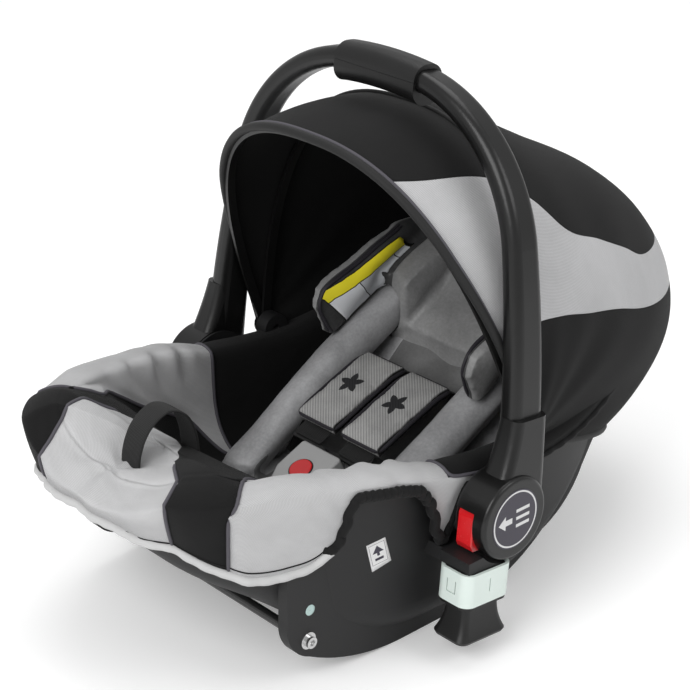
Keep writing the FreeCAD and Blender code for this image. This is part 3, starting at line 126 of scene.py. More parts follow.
class Nodes:
    """A node tree that grows."""

    def __init__(self, tree):
        self.tree = tree

    def node(self, kind, settings=None, output=0, **inputs):
        """A new node with its settings, then the values or links of its sockets."""
        made = self.tree.nodes.new(kind)
        for key, value in (settings or {}).items():
            setattr(made, key, value)
        for key, value in inputs.items():
            place = made.inputs[int(key[1:]) if key[1:].isdigit() else key.replace("_", " ")]
            if isinstance(value, Shade):
                self.tree.links.new(value.socket, place)
            else:
                place.default_value = value
        return Shade(self.tree, made.outputs[output])


class Finish(Nodes):
    """A material in the making: one Principled shader and the nodes that feed it."""

    def __init__(self, name, **constants):
        self.material = bpy.data.materials.new(name)
        self.material.use_nodes = True
        super().__init__(self.material.node_tree)
        self.shader = self.tree.nodes["Principled BSDF"]
        for socket, value in constants.items():
            self.shader.inputs[socket.replace("_", " ")].default_value = value

    def place(self):
        """Object coordinates of the surface as three numbers, in metres."""
        return self.apart(3, 3)

    def cut(self):
        """The cloth's own coordinates across and along its weave, in metres."""
        return self.apart(2, 2)

    def apart(self, output, count):
        """One way of the texture coordinates, which later noises use, as separate numbers."""
        self.where = self.node("ShaderNodeTexCoord", output=output)
        return [self.node("ShaderNodeSeparateXYZ", output=k, _0=self.where) for k in range(count)]

    def field(self, name):
        """A number kept on the mesh, such as the distance to a seam."""
        return self.node("ShaderNodeAttribute", {"attribute_name": name}, output=2)

    def noise(self, scale, detail=3.0, rough=0.5):
        """Noise between 0 and 1 over the coordinates that place or cut chose."""
        return self.node("ShaderNodeTexNoise", {"noise_dimensions": "3D"}, output=0,
                         Vector=self.where, Scale=scale, Detail=detail, Roughness=rough)

    def blend(self, mask, low, high):
        """Colour low where the mask is 0, high where it is 1."""
        return self.node("ShaderNodeMix", {"data_type": "RGBA"}, output=2,
                         _0=mask, _6=low, _7=high)

    def feed(self, colour, rough=None, height=None, depth=0.001):
        """Links what varies into the shader's colour, roughness and normal."""
        link = self.tree.links.new
        link(colour.socket, self.shader.inputs["Base Color"])
        if rough is not None:
            link(rough.socket, self.shader.inputs["Roughness"])
        if height is not None:
            bump = self.node("ShaderNodeBump", Height=height, Distance=depth, Strength=1.0)
            link(bump.socket, self.shader.inputs["Normal"])
        return self.material


def grey(level, tint=(1, 1, 1)):
    """A colour of one level with a slight tint."""
    return (level * tint[0], level * tint[1], level * tint[2], 1.0)


def around(colour, less, more):
    """The same colour darker and lighter, by two factors."""
    return [tuple(c * factor for c in colour[:3]) + (1.0,) for factor in (less, more)]


floor_mesh = bpy.data.meshes.new("floor")
floor_mesh.from_pydata([(-6, -6, 0), (6, -6, 0), (6, 6, 0), (-6, 6, 0)], [], [(0, 1, 2, 3)])
floor = bpy.data.objects.new("floor", floor_mesh)
scene.collection.objects.link(floor)
paint = Finish("floor_paint", Roughness=0.9)
paint.place()
paint.feed(paint.blend(paint.noise(2.0), grey(0.93), grey(0.95)))
glow = paint.node("ShaderNodeEmission", Color=(1, 1, 1, 1), Strength=0.16)
seen = paint.node("ShaderNodeLightPath", output=0)
unlit = paint.node("ShaderNodeEmission", Color=(0, 0, 0, 1), Strength=0.0)
camera_glow = paint.node("ShaderNodeMixShader", _0=seen, _1=unlit, _2=glow)
lit = Shade(paint.tree, paint.shader.outputs[0])
both = paint.node("ShaderNodeAddShader", _0=lit, _1=camera_glow)
paint.tree.links.new(both.socket, paint.tree.nodes["Material Output"].inputs[0])
floor_mesh.materials.append(paint.material)

sky = bpy.data.worlds.new("studio")
scene.world = sky
sky.use_nodes = True
air = Nodes(sky.node_tree)
choice = air.node("ShaderNodeMixShader", _0=air.node("ShaderNodeLightPath", output=0),
                  _1=air.node("ShaderNodeBackground", Color=(1, 1, 1, 1), Strength=0.62),
                  _2=air.node("ShaderNodeBackground", Strength=1.0))
air.tree.links.new(choice.socket, air.tree.nodes["World Output"].inputs[0])

SOFT_BOXES = (("key", (0.5, -2.4, 1.9), 1.8, 46), ("fill", (2.4, 0.9, 2.2), 1.6, 22),
              ("top", (-0.6, 0.6, 3.0), 2.0, 26))
for name, spot, size, power in SOFT_BOXES:
    lamp = bpy.data.lights.new(name, "AREA")
    lamp.energy = power
    lamp.size = size
    box = bpy.data.objects.new(name, lamp)
    box.location = spot
    box.rotation_euler = (Vector((0, 0, 0.2)) - Vector(spot)).to_track_quat("-Z", "Y").to_euler()
    scene.collection.objects.link(box)


# --- The hard parts, which keep their shape from the CAD and take a finish.
def plastic(name, colour, rough, grain=0.00006, scale=1400.0, coat=0.0, mottle=0.12):
    """Moulded plastic: fine texture, and slow variation of colour and gloss."""
    made = Finish(name, IOR=1.42, Coat_Weight=coat, Coat_Roughness=0.15)
    made.place()
    fine = made.noise(scale, 2.0)
    slow = made.noise(9.0, 4.0)
    return made.feed(made.blend(slow.ramp(0.3, 0.7), *around(colour, 1 - mottle, 1 + mottle)),
                     slow * 0.16 + fine * 0.06 + (rough - 0.11), fine, grain)


def dress(material, *starts):
    """CAD nodes whose names start so keep their shape and take this finish."""
    for name, node in nodes.items():
        if name.startswith(starts):
            node.data.materials.clear()
            node.data.materials.append(material)


# The shell and the hub covers, near-black polypropylene with a fine texture.
dress(plastic("shell_texture", grey(0.011, (1, 1, 1.04)), 0.5, 0.00012, 900.0), "shell",
      "hub_cover")

# The steel cross bar under the foot end, black powder coat, held by two dome screws.
dress(plastic("bar_coat", grey(0.012), 0.22, 0.00003, 500.0, 0.5), "front_cross_bar")
screw = Finish("screw_chrome", Metallic=1.0)
screw.place()
dress(screw.feed(screw.blend(screw.noise(60.0), grey(0.55), grey(0.75)),
                 screw.noise(300.0) * 0.15 + 0.12), "cross_bar_bolts")
dress(screw.material, "pivot_pin")

# The carry handle, satin black, and the two halves of its grip, finely textured.
dress(plastic("handle_satin", grey(0.005), 0.32, 0.00003, 700.0, 0.1, 0.06), "handle_frame")
dress(plastic("grip_texture", grey(0.006), 0.42, 0.00014, 1000.0), "grip_")

# The red buttons, gloss ABS, the adapters with their pale collars, the canopy's hoops and
# rivets, the buckle, its tongues and the harness adjuster.
dress(plastic("release_red", (0.62, 0.012, 0.016, 1), 0.25, 0.00002, 300.0, 0.4, 0.05),
      "release_button", "buckle_button")
dress(plastic("adapter_black", grey(0.008), 0.42, 0.0001, 900.0), "adapter_body")
dress(plastic("collar_mint", (0.66, 0.74, 0.70, 1), 0.4, 0.00004, 600.0, 0.1, 0.04),
      "adapter_collar")
dress(plastic("rivet_black", grey(0.006), 0.35), "hood_rivet", "hood_front_bow", "hood_mid_bow")
dress(plastic("buckle_grey", grey(0.38), 0.36, 0.00005, 900.0, 0.1, 0.05), "buckle_body")
dress(plastic("adjuster_black", grey(0.012), 0.4, 0.00008, 900.0), "tongue_", "adjuster_")


# --- Curves, and the grids, cords and cloths made of them.
def spline(knots, values, at):
    """Smooth curve through values at knots: each span is a cubic with the slopes of its ends."""
    knots, values, at = (np.asarray(a, float) for a in (knots, values, at))
    slopes = np.gradient(values, knots, axis=0)
    k = np.clip(np.searchsorted(knots, at, side="right") - 1, 0, len(knots) - 2)
    span = knots[k + 1] - knots[k]
    t = (at - knots[k]) / span
    if values.ndim > 1:
        t, span = t[..., None], span[..., None]
    return ((1 + 2 * t) * (1 - t) ** 2 * values[k] + t * (1 - t) ** 2 * span * slopes[k]
            + t * t * (3 - 2 * t) * values[k + 1] + t * t * (t - 1) * span * slopes[k + 1])


def unit(v):
    """Rows of v scaled to length one."""
    return v / np.maximum(np.linalg.norm(v, axis=-1, keepdims=True), 1e-12)


def between(a, b, t):
    """a where t is 0, b where t is 1."""
    return a * (1 - t) + b * t


def rising(v, low, high):
    """0 at low, 1 at high and straight between; low may be the larger number."""
    return np.clip((v - low) / (high - low), 0, 1)


def hump(v, centre, width, power=2):
    """1 at the centre, falling off on both sides of it."""
    return np.exp(-((v - centre) / width) ** power)


def squared(v, power):
    """v to a power, with its sign: it makes superellipses of cosines and sines."""
    return np.sign(v) * np.abs(v) ** power


def circle(count):
    """Cosines and sines of evenly spaced turns."""
    turn = np.linspace(0, 2 * np.pi, count, endpoint=False)
    return np.cos(turn), np.sin(turn)


def along_line(points):
    """Length from the first point to each point."""
    return np.concatenate([[0], np.cumsum(np.linalg.norm(np.diff(points, axis=0), axis=1))])


def sampled(points, known, wanted):
    """Straight-line values of points, known at the places known, for the places wanted."""
    return np.stack([np.interp(wanted, known, column) for column in points.T], -1)


def lay_out(mesh, flat):
    """Gives every vertex its place on the flat cloth, two lengths in metres."""
    index = np.empty(len(mesh.loops), np.int32)
    mesh.loops.foreach_get("vertex_index", index)
    places = flat.reshape(-1, 2)[index].astype(np.float32)
    mesh.uv_layers.new(name="cut").data.foreach_set("uv", places.ravel())


def smooth(mesh):
    """Shades the faces as one curved skin."""
    mesh.polygons.foreach_set("use_smooth", np.ones(len(mesh.polygons), bool))


def surface(name, grid, body, material, fields=None, closed=(False, False), outward=None,
            thick=0.0, lining=None):
    """Quads over a grid of points. UVs are the lengths along both ways of the grid, in metres.
    outward is a point inside: faces turn away from it."""
    ni, nj = grid.shape[:2]
    index = np.arange(ni * nj).reshape(ni, nj)
    rows = np.concatenate([index, index[:1]]) if closed[0] else index
    rows = np.concatenate([rows, rows[:, :1]], axis=1) if closed[1] else rows
    quads = np.stack([rows[:-1, :-1], rows[1:, :-1], rows[1:, 1:], rows[:-1, 1:]], -1)
    centre = grid.reshape(-1, 3)[quads.reshape(-1, 4)]
    normal = np.cross(centre[:, 2] - centre[:, 0], centre[:, 3] - centre[:, 1])
    if outward is not None and np.sum(normal * (centre.mean(1) - outward)) < 0:
        quads = quads[..., ::-1]
    quads = quads.reshape(-1, 4)
    along = [np.concatenate([np.zeros_like(np.take(grid[..., 0], [0], axis)),
                             np.cumsum(np.linalg.norm(np.diff(grid, axis=axis), axis=-1), axis)],
                            axis) for axis in (0, 1)]
    mesh = bpy.data.meshes.new(name)
    mesh.from_pydata(grid.reshape(-1, 3).tolist(), [], quads.tolist())
    lay_out(mesh, np.stack(along, -1))
    for key, values in (fields or {}).items():
        mesh.attributes.new(key, "FLOAT", "POINT").data.foreach_set(
            "value", np.asarray(values, np.float32).ravel())
    smooth(mesh)
    mesh.materials.append(material)
    piece = bpy.data.objects.new(name, mesh)
    scene.collection.objects.link(piece)
    if thick:
        wall = piece.modifiers.new("wall", "SOLIDIFY")
        wall.thickness = thick
        wall.offset = -1
        if lining is not None:
            mesh.materials.append(lining)
            wall.material_offset = 1
    if body:
        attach(piece, body)
    return piece


def frames(path, closed=False):
    """Unit tangent, side and normal along a path; the side turns as little as it can."""
    tangent = unit(np.roll(path, -1, 0) - np.roll(path, 1, 0) if closed
                   else np.gradient(path, axis=0))
    side = np.zeros_like(path)
    start = np.cross(tangent[0], (0.0, 0.0, 1.0))
    if np.linalg.norm(start) < 0.1:
        start = np.cross(tangent[0], (0.0, 1.0, 0.0))
    side[0] = unit(start)
    for k in range(1, len(path)):
        side[k] = unit(side[k - 1] - tangent[k] * np.dot(side[k - 1], tangent[k]))
    return tangent, side, np.cross(tangent, side)


def cord_tube(name, path, radius, material, body="base", sides=10, closed=False):
    """A round section carried along a path; an open one is drawn in at both ends."""
    tangent, side, normal = frames(path, closed)
    c, s = circle(sides)
    size = np.full(len(path), radius)
    if not closed:
        size[0] = size[-1] = radius * 0.02
        size[1] = size[-2] = radius * 0.8
    ring = side[:, None] * c[None, :, None] + normal[:, None] * s[None, :, None]
    grid = path[:, None] + ring * size[:, None, None]
    return skin_round(name, grid, body, material, closed)


def skin_round(name, grid, body, material, closed=False):
    """The skin round rows of points, with a face across both ends unless the rows close."""
    piece = surface(name, grid, None, material, closed=(closed, True))
    mesh = piece.data
    if not closed:
        rows, sides = grid.shape[:2]
        faces = [list(p.vertices) for p in mesh.polygons]
        faces += [list(range(sides))[::-1], list(range((rows - 1) * sides, rows * sides))]
        mesh.clear_geometry()
        mesh.from_pydata(grid.reshape(-1, 3).tolist(), [], faces)
        smooth(mesh)
    if signed_volume(mesh) < 0:
        mesh.flip_normals()
    if body:
        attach(piece, body)
    return piece


def corners(mesh, what="co"):
    """The vertices' places, or with "normal" the ways they face."""
    flat = np.empty(len(mesh.vertices) * 3)
    mesh.vertices.foreach_get(what, flat)
    return flat.reshape(-1, 3)


def move(mesh, places):
    """Puts the vertices at these places."""
    mesh.vertices.foreach_set("co", places.ravel())


def signed_volume(mesh):
    """Sum over the faces of their corner products: negative where the faces look inwards."""
    mesh.calc_loop_triangles()
    tri = np.array([t.vertices for t in mesh.loop_triangles])
    a, b, c = (corners(mesh)[tri[:, k]] for k in range(3))
    return float(np.sum(a * np.cross(b, c)))


TWILL_PITCH, MESH_PITCH = 0.0011, 0.0026


def twill(name, colour, pitch=TWILL_PITCH, rough=0.78, sheen=0.04, fade=0.35, depth=0.00012):
    """Woven cloth: fine slanted ribs, slow patches of wear, a soft sheen."""
    made = Finish(name, Sheen_Weight=sheen, Sheen_Roughness=0.5, IOR=1.3)
    across, along = made.cut()
    ribs = (across + along).wave(pitch) * 0.5 + 0.5
    slow = made.noise(14.0, 4.0, 0.6)
    fluff = made.noise(900.0, 2.0)
    mask = (slow * 0.7 + ribs * 0.2 + fluff * 0.3).ramp(0.25, 0.95)
    return made.feed(made.blend(mask, *around(colour, 1 - fade, 1 + fade)),
                     slow * 0.12 + (rough - 0.06), ribs * 0.6 + fluff * 0.4, depth)


black_twill = twill("black_twill", grey(0.006, (1, 0.99, 1.02)))
lining_cloth = twill("lining_cloth", grey(0.005), rough=0.9, sheen=0.02)
piping_grey = twill("piping_grey", grey(0.075, (1, 0.95, 1.1)), 0.0016, 0.6)
piping_black = twill("piping_black", grey(0.016), 0.0016, 0.6)


# --- The canopy: black twill over two plastic hoops, with a pale mesh band down each side and
# round the back. A front panel and a rear panel meet in a seam over the middle hoop.
# The rows are lean in degrees, then reach, half width and squareness of the canopy's own hoops
HOOPS = np.array([(-21.2, 0.2925, 0.1894, 2.5), (-8, 0.286, 0.1894, 2.5), (4.5, 0.281, 0.1894, 2.5),
                  (20, 0.272, 0.1892, 2.6), (36, 0.272, 0.1884, 2.7), (50, 0.288, 0.187, 2.8),
                  (62, 0.306, 0.185, 2.9), (74, 0.318, 0.182, 3.0), (86, 0.311, 0.178, 3.1),
                  (98, 0.266, 0.176, 3.1), (108, 0.218, 0.174, 3.1)])
# the leans of the seam over the middle hoop and of the rear hem
MIDDLE_LEAN, REAR_LEAN = 4.5, 108.0


def canopy(angle, lean, lift=0.0):
    """Superellipse arch from rivet to rivet, in a plane that leans about the rivets' axis."""
    shape = spline(HOOPS[:, 0], HOOPS[:, 1:], lean)
    reach, half, power = shape[..., 0] + lift, shape[..., 1] + lift, shape[..., 2]
    c, s = np.cos(np.radians(angle)), np.sin(np.radians(angle))
    x = half * squared(c, 2 / power)
    out = reach * squared(s, 2 / power)
    tilt = np.radians(lean)
    return np.stack([x, pivot[1] + out * np.sin(tilt), pivot[2] + out * np.cos(tilt)], -1)


def front_lean(angle):
    """The front edge dips forward at the top and draws back towards the rivets."""
    share = np.abs(np.asarray(angle, float) - 90) / 90
    return -20.6 + 5.4 * rising(share, 0.55, 1) ** 1.5


def band_edges(lean):
    """Heights of the pale band's upper and lower seams, for each lean."""
    upper = spline([-24, -16, 3, 13, 23, 39, 50, 59, 70, 110],
                   [0.426, 0.422, 0.408, 0.383, 0.353, 0.328, 0.309, 0.291, 0.286, 0.286], lean)
    lower = spline([-24, -16, 11, 46, 56, 73, 110],
                   [0.276, 0.283, 0.287, 0.270, 0.262, 0.240, 0.238], lean)
    return upper, lower


def canopy_folds(angle, lean):
    """Slack of the cloth: shallow waves that run down from the middle seam, deeper low down."""
    a, b = np.radians(angle), np.radians(lean)
    low = np.clip(1 - np.sin(a), 0, 1)
    waves = np.sin(9 * b + 3 * np.cos(a)) * 0.0012 + np.sin(17 * b - 5 * np.cos(2 * a)) * 0.0006
    hang = -0.0022 * np.sin(np.pi * rising(lean, MIDDLE_LEAN, 49.5)) ** 2 * (1 - low)
    return waves * (0.25 + low) + hang


def canopy_grid(lean, angle):
    """The cloth's points, with how far each is above the band's two seams."""
    lean, angle = np.broadcast_arrays(lean, angle)
    edge = np.minimum(1, 10 * np.minimum(angle, 180 - angle) / 90)
    grid = canopy(angle, lean, canopy_folds(angle, lean) * edge - 0.0004)
    upper, lower = band_edges(lean)
    return grid, {"over": grid[..., 2] - upper, "under": grid[..., 2] - lower}


def two_cloths(name, keys, pale, seam_width, patches, rough, low, high):
    """Pale open mesh where pale(of the two fields) is 1 and black twill elsewhere, sewn along a
    pinched line where either field is 0."""
    made = Finish(name, Sheen_Weight=0.03, Sheen_Roughness=0.5, IOR=1.3)
    one, other = (made.field(key) for key in keys)
    inside = pale(one, other)
    pinch = 1 - abs(one).least(abs(other)).ramp(0.0, seam_width)
    across, along = made.cut()
    cells = (across + along).wave(MESH_PITCH) * (across - along).wave(MESH_PITCH)
    ribs = (across + along).wave(TWILL_PITCH)
    slow = made.noise(patches, 4.0, 0.6)
    fluff = made.noise(900.0, 2.0)
    dark = made.blend((slow * 0.8 + ribs * 0.1 + fluff * 0.3).ramp(0.3, 0.9), grey(0.003),
                      grey(0.0085, (1, 0.98, 1.02)))
    light = made.blend((cells * 0.35 + slow * 0.5 + 0.25).ramp(0.1, 0.9), low, high)
    return made.feed(made.blend(inside, dark, light), slow * 0.1 + rough,
                     cells * inside * 0.5 + ribs * 0.2 - pinch * 2.0, 0.0002)


canopy_mesh = two_cloths("canopy_cloth", ("over", "under"),
                         lambda over, under: (over < 0.0) * (under > 0.0), 0.0016, 12.0, 0.72,
                         grey(0.32, (1, 1, 1.01)), grey(0.58, (1, 1, 1.02)))
arch = 90 - 90 * np.cos(np.linspace(0.03, math.pi - 0.03, 121))
lean_share = np.linspace(0, 1, 25)
front_rows = between(front_lean(arch), MIDDLE_LEAN, lean_share[:, None])
grid, fields = canopy_grid(front_rows, arch)
front_panel = surface("canopy_front", grid, None, canopy_mesh, fields,
                      outward=(0, 0.05, 0.25), thick=0.0018, lining=lining_cloth)
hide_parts("hood_front_fabric")
grid, fields = canopy_grid(np.linspace(MIDDLE_LEAN, REAR_LEAN, 91)[:, None], arch)
rear_panel = surface("canopy_rear", grid, None, canopy_mesh, fields,
                     outward=(0, 0.10, 0.25), thick=0.0018, lining=lining_cloth)
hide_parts("hood_rear_fabric")
front_binding = cord_tube("canopy_front_binding", canopy(arch, front_lean(arch), 0.0006), 0.0042,
                          piping_black, None)
front_piping = cord_tube("canopy_front_piping", canopy(arch, front_lean(arch) + 1.0, 0.0016),
                         0.0022, piping_grey, None)
cord_tube("canopy_ridge", canopy(arch, np.full_like(arch, MIDDLE_LEAN), 0.0004), 0.0022,
          piping_black, "hood_mid")
hem_arch = arch[4:-4]
hem_band = cord_tube("canopy_hem", canopy(hem_arch, np.full_like(hem_arch, REAR_LEAN), -0.001),
                     0.004, piping_black)
for piece in (front_panel, front_binding, front_piping):
    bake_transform(piece)
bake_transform(rear_panel)


# --- The seat cover: black twill liner, pale mesh apron over the foot end with a black horseshoe
# band, a padded roll over the shell's rim, and a skirt that an elastic hem holds under it.
# Heights are above the floor; Y is counted from the hub axis.
def from_hub(points):
    """Points measured from below the hub axis, moved to their place."""
    return np.asarray(points, float) + np.array([0, hub[1], 0])


OUTLINE = np.array([(0, .312), (.062, .310), (.105, .304), (.130, .288), (.151, .249), (.167, .197),
                    (.177, .135), (.181, .062), (.181, -.022), (.176, -.095), (.166, -.158),
                    (.153, -.218), (.130, -.268), (.106, -.289), (.078, -.298), (.040, -.301),
                    (0, -.301)])
RIM = np.array([(-.33, .214), (-.262, .219), (-.205, .216), (-.150, .208), (-.096, .199),
                (-.040, .182), (.010, .172), (.080, .168), (.140, .175), (.200, .197), (.250, .231),
                (.300, .279), (.33, .300)])
FLOOR = np.array([(-.30, .191), (-.25, .1945), (-.21, .1945), (-.187, .187), (-.165, .162),
                  (-.150, .140), (-.120, .100), (-.09, .075), (-.02, .060), (.06, .072),
                  (.13, .122), (.19, .172), (.24, .219), (.28, .255)])
HEM = np.array([(-.33, .170), (-.296, .164), (-.262, .143), (-.232, .132), (-.205, .130),
                (-.172, .136), (-.153, .155), (-.146, .176), (-.138, .190), (-.118, .1915),
                (-.096, .187), (-.070, .168), (-.056, .143), (-.050, .120), (-.043, .110),
                (-.036, .112), (-.030, .130), (-.022, .152), (0, .160), (.06, .158), (.14, .165),
                (.22, .200), (.33, .262)])
# the roll's half width and height, then the dip across the foot end: an arc about the middle
ROLL, CROWN = 0.0155, 0.009
DIP_LEVEL, DIP_RADIUS, DIP_HALF = 0.187, 0.190, 0.17


def cover_outline(count):
    """The rim's plan: a smooth curve through its points, evenly spaced, on both sides."""
    chord = along_line(OUTLINE)
    fine = spline(chord, OUTLINE, np.linspace(0, chord[-1], 2000))
    length = along_line(fine)
    half = sampled(fine, length, np.linspace(0, length[-1], count))
    return np.concatenate([half, half[-2:0:-1] * (-1, 1)])


def rim_height(outline):
    """The rim's line from the side, with the dip across the foot end."""
    x, y = outline.T
    side = spline(RIM[:, 0], RIM[:, 1], y) - 0.003 * hump(y, -0.12, 0.07, 4) * (x > 0)
    return between(side, np.minimum(side, DIP_LEVEL + dip(x)), rising(y, -0.235, -0.265))


def dip(x):
    """How far an arc of DIP_RADIUS about the middle rises at x, up to DIP_HALF."""
    return DIP_RADIUS - np.sqrt(DIP_RADIUS ** 2 - np.minimum(np.abs(x), DIP_HALF) ** 2)


def raised(plan, height):
    """Points in plan with their heights, moved to their place."""
    return from_hub(np.concatenate([plan, height[..., None]], -1))


def cover_parts(count):
    """Bed, roll and skirt share the loops between them. The bed is a deep dish: for each place on
    the rim a quarter superellipse runs down to the middle line. The roll is half an ellipse. The
    skirt runs down from it to the hem, drawing in slightly."""
    outline = cover_outline(count // 2 + 1)
    run = unit(np.roll(outline, -1, 0) - np.roll(outline, 1, 0))
    away = np.stack([-run[:, 1], run[:, 0]], -1)
    away *= np.sign(np.sum(away * outline, 1))[:, None]
    top = rim_height(outline)
    inner = outline - away * 2 * ROLL
    y = outline[:, 1]
    middle = np.stack([0 * y, np.clip(y, -0.212, 0.255)], -1)
    turn = np.linspace(0, np.pi / 2, 53)
    squareness = 4.2
    nose = rising(y, -0.205, -0.265)[:, None]
    nose = nose ** 2 * (3 - 2 * nose)
    start = top[:, None] - CROWN
    brim = start + 0.012 * nose
    share = np.sin(turn) ** (2 / squareness)
    climb = 1 - np.cos(turn) ** (2 / squareness)
    plan = middle[:, None] + (inner - middle)[:, None] * share[None, :, None]
    ground_there = np.interp(plan[..., 1], FLOOR[:, 0], FLOOR[:, 1])
    ground_there += 0.45 * dip(plan[..., 0]) * rising(plan[..., 1], -0.17, -0.22)
    climb = between(climb, share ** 2 * (3 - 2 * share), nose)
    height = between(ground_there, brim, climb)
    bed = raised(plan, height)
    roll_turn = np.linspace(0, np.pi, 15)
    out = ROLL * (1 - np.cos(roll_turn))
    slope = brim - 0.012 * ((1 - np.cos(roll_turn)) / 2) ** 2
    crown = between(start + CROWN * np.sin(roll_turn), slope, nose)
    roll_plan = inner[:, None] + away[:, None] * out[None, :, None]
    hem = spline(HEM[:, 0], HEM[:, 1], y)[:, None]
    level = between(start, np.minimum(hem, start - 0.008), np.linspace(0, 1, 33))
    depth = start - level
    tuck = rising(y, -0.24, -0.29)[:, None]
    pull = 0.045 * depth + tuck * depth ** 1.5
    skirt_plan = outline[:, None] - away[:, None] * pull[..., None]
    return bed, raised(roll_plan, crown), raised(skirt_plan, level)


def side_of(line, plan):
    """Signed distance in plan to an open polyline: positive on its left."""
    best = np.full(plan.shape[:-1], 9.0)
    sign = np.ones_like(best)
    for a, b in zip(line[:-1], line[1:]):
        run = b - a
        t = np.clip(((plan - a) @ run) / (run @ run), 0, 1)
        gap = plan - (a + t[..., None] * run)
        far = np.linalg.norm(gap, axis=-1)
        turn = run[0] * (plan[..., 1] - a[1]) - run[1] * (plan[..., 0] - a[0])
        closer = far < best
        best = np.where(closer, far, best)
        sign = np.where(closer, np.sign(turn), sign)
    return best * sign


# the seams of the apron in plan: round the pale middle panel, and ahead of the pale sides
MIDDLE_SEAM = np.array([(.106, -.36), (.104, -.299), (.092, -.269), (.062, -.250), (.045, -.236),
                        (.034, -.222), (.019, -.206), (.001, -.194), (-.024, -.186),
                        (-.050, -.190), (-.076, -.205), (-.088, -.228), (-.084, -.255),
                        (-.070, -.285), (-.060, -.36)])
FRONT_SEAM = np.array([(.20, -.262), (.150, -.256), (.132, -.246), (.117, -.228), (.110, -.205),
                       (.106, -.15)])
# the lower edge of the pale side panels up the bed's wall, as a height for each Y. It follows the
# seam, but towards the foot end (Y -0.24 to -0.14) it is raised so that black cloth covers the wall
# below the roll where it lies in shade there: partly a real seam, partly painted shade
SIDE_LOW = np.array([(-.40, .2045), (-.24, .2045), (-.215, .206), (-.185, .196), (-.160, .176),
                     (-.136, .157), (-.074, .118), (-.050, .080), (.0, .05)])
BACK_SEAM = -0.038


def cover_fields(grid, place):
    """Distance into the pale middle panel, and into the pale side panels."""
    plan = grid[..., :2] - hub[:2]
    height = grid[..., 2]
    middle = np.where(height > 0.14, side_of(MIDDLE_SEAM, plan), -0.02)
    crest = rising(height, 0.196, 0.216)
    slip = np.where(plan[..., 0] > 0, 0.015 * crest - 0.004, 0.0)
    ahead = side_of(FRONT_SEAM, np.stack([np.abs(plan[..., 0]), plan[..., 1] - slip], -1))
    slant = (0.95 * (height - 0.112)).clip(0, 0.05) if place == "skirt" else 0.0
    side = np.minimum(-ahead, BACK_SEAM + slant - plan[..., 1])
    if place == "bed":
        # below SIDE_LOW the bed is black twill; its raised stretch at the foot end is painted shade
        side = np.minimum(side, height - np.interp(plan[..., 1], SIDE_LOW[:, 0], SIDE_LOW[:, 1]))
    return {"middle": middle, "side": side}


def normals(grid):
    """Unit normals of a grid whose first way closes on itself."""
    one = np.roll(grid, -1, 0) - np.roll(grid, 1, 0)
    return unit(np.cross(np.gradient(grid, axis=1), one))


def padding(grid, fields, wall):
    """Wadding swells between the seams; slack cloth folds slantwise down the walls; the strap's
    slot pinches the apron into rays. wall is how steep the cloth stands, 0 level to 1 upright."""
    seam = np.minimum(np.abs(fields["middle"]), np.abs(fields["side"]))
    swell = 0.0030 * (1 - np.exp(-seam / 0.012)) - 0.0014
    x, y, z = np.moveaxis(grid - (0, hub[1], 0), -1, 0)
    slant = y + 0.75 * z + 0.010 * np.sin(z * 60 + y * 20)
    here = hump(y, -0.118, 0.055, 4) * rising(np.abs(x), 0.06, 0.10) * wall
    here *= np.where(np.arange(grid.shape[1]) < 56, 1.0, 0.12)[None, :]
    folds = (0.0120 * np.abs(np.sin(slant * 118 + 6 * x)) ** 0.8 - 0.007
             + 0.0016 * np.sin(slant * 300 + 1 + 9 * x)) * here
    over, along = x + 0.006, y + 0.262
    far = np.hypot(over, along)
    creases = 0.0022 * np.sin(np.arctan2(along, over) * 5 + 0.7) * hump(far, 0.022, 0.02)
    creases -= 0.0030 * hump(far, 0, 0.013)
    slack = 0.0012 * np.sin(x * 70 + 2) * np.sin(y * 85 + x * 30)
    middle, side = (rising(fields[key], 0, 0.01) for key in ("middle", "side"))
    return (swell + 1.3 * folds * side + (creases + slack) * middle) * rising(z, 0.09, 0.13)


def sewn(bed, roll, skirt):
    """The three grids as one: neighbours share a loop."""
    return np.concatenate([bed[:, :-1], roll, skirt[:, 1:]], 1)


parts = cover_parts(480)
made_fields = [cover_fields(grid, place) for grid, place in zip(parts, ("bed", "roll", "skirt"))]
joined = sewn(*parts)
join_fields = {key: sewn(*(made[key] for made in made_fields)) for key in ("middle", "side")}
turned = normals(joined)
turned *= np.sign(turned[:, 20:40, 2].sum())
steep = np.sqrt(np.clip(1 - turned[..., 2] ** 2, 0, 1))
joined = joined + turned * padding(joined, join_fields, steep)[..., None]
for _ in range(3):
    joined[:, 1:-1] = (joined[:, :-2] + 2 * joined[:, 1:-1] + joined[:, 2:]) / 4


def seam_paths(grid, field, keep, reach=0.012):
    """Lines where a field is zero: crossings of the grid's edges, chained to the nearest next one,
    smoothed and evenly spaced."""
    found = []
    for a, b in ((np.s_[:-1], np.s_[1:]), (np.s_[:, :-1], np.s_[:, 1:])):
        fa, fb = field[a], field[b]
        here = (fa * fb < 0) & keep[a]
        t = (fa / (fa - fb + 1e-15))[here][:, None]
        found.append(between(grid[a][here], grid[b][here], t))
    points = np.concatenate(found)
    paths = []
    while len(points) > 12:
        start = np.argmax(np.linalg.norm(points - points.mean(0), axis=1))
        chain = [points[start]]
        points = np.delete(points, start, 0)
        while len(points):
            gaps = np.linalg.norm(points - chain[-1], axis=1)
            k = int(np.argmin(gaps))
            if gaps[k] > reach:
                break
            chain.append(points[k])
            points = np.delete(points, k, 0)
        if len(chain) > 14:
            paths.append(evenly(np.array(chain), 0.004, 5))
    return paths


def evenly(line, step, passes):
    """The same line with its points evenly spaced, then smoothed."""
    length = along_line(line)
    line = sampled(line, length, np.linspace(0, length[-1], max(8, int(length[-1] / step))))
    for _ in range(passes):
        line[1:-1] = (line[:-2] + 2 * line[1:-1] + line[2:]) / 4
    return line


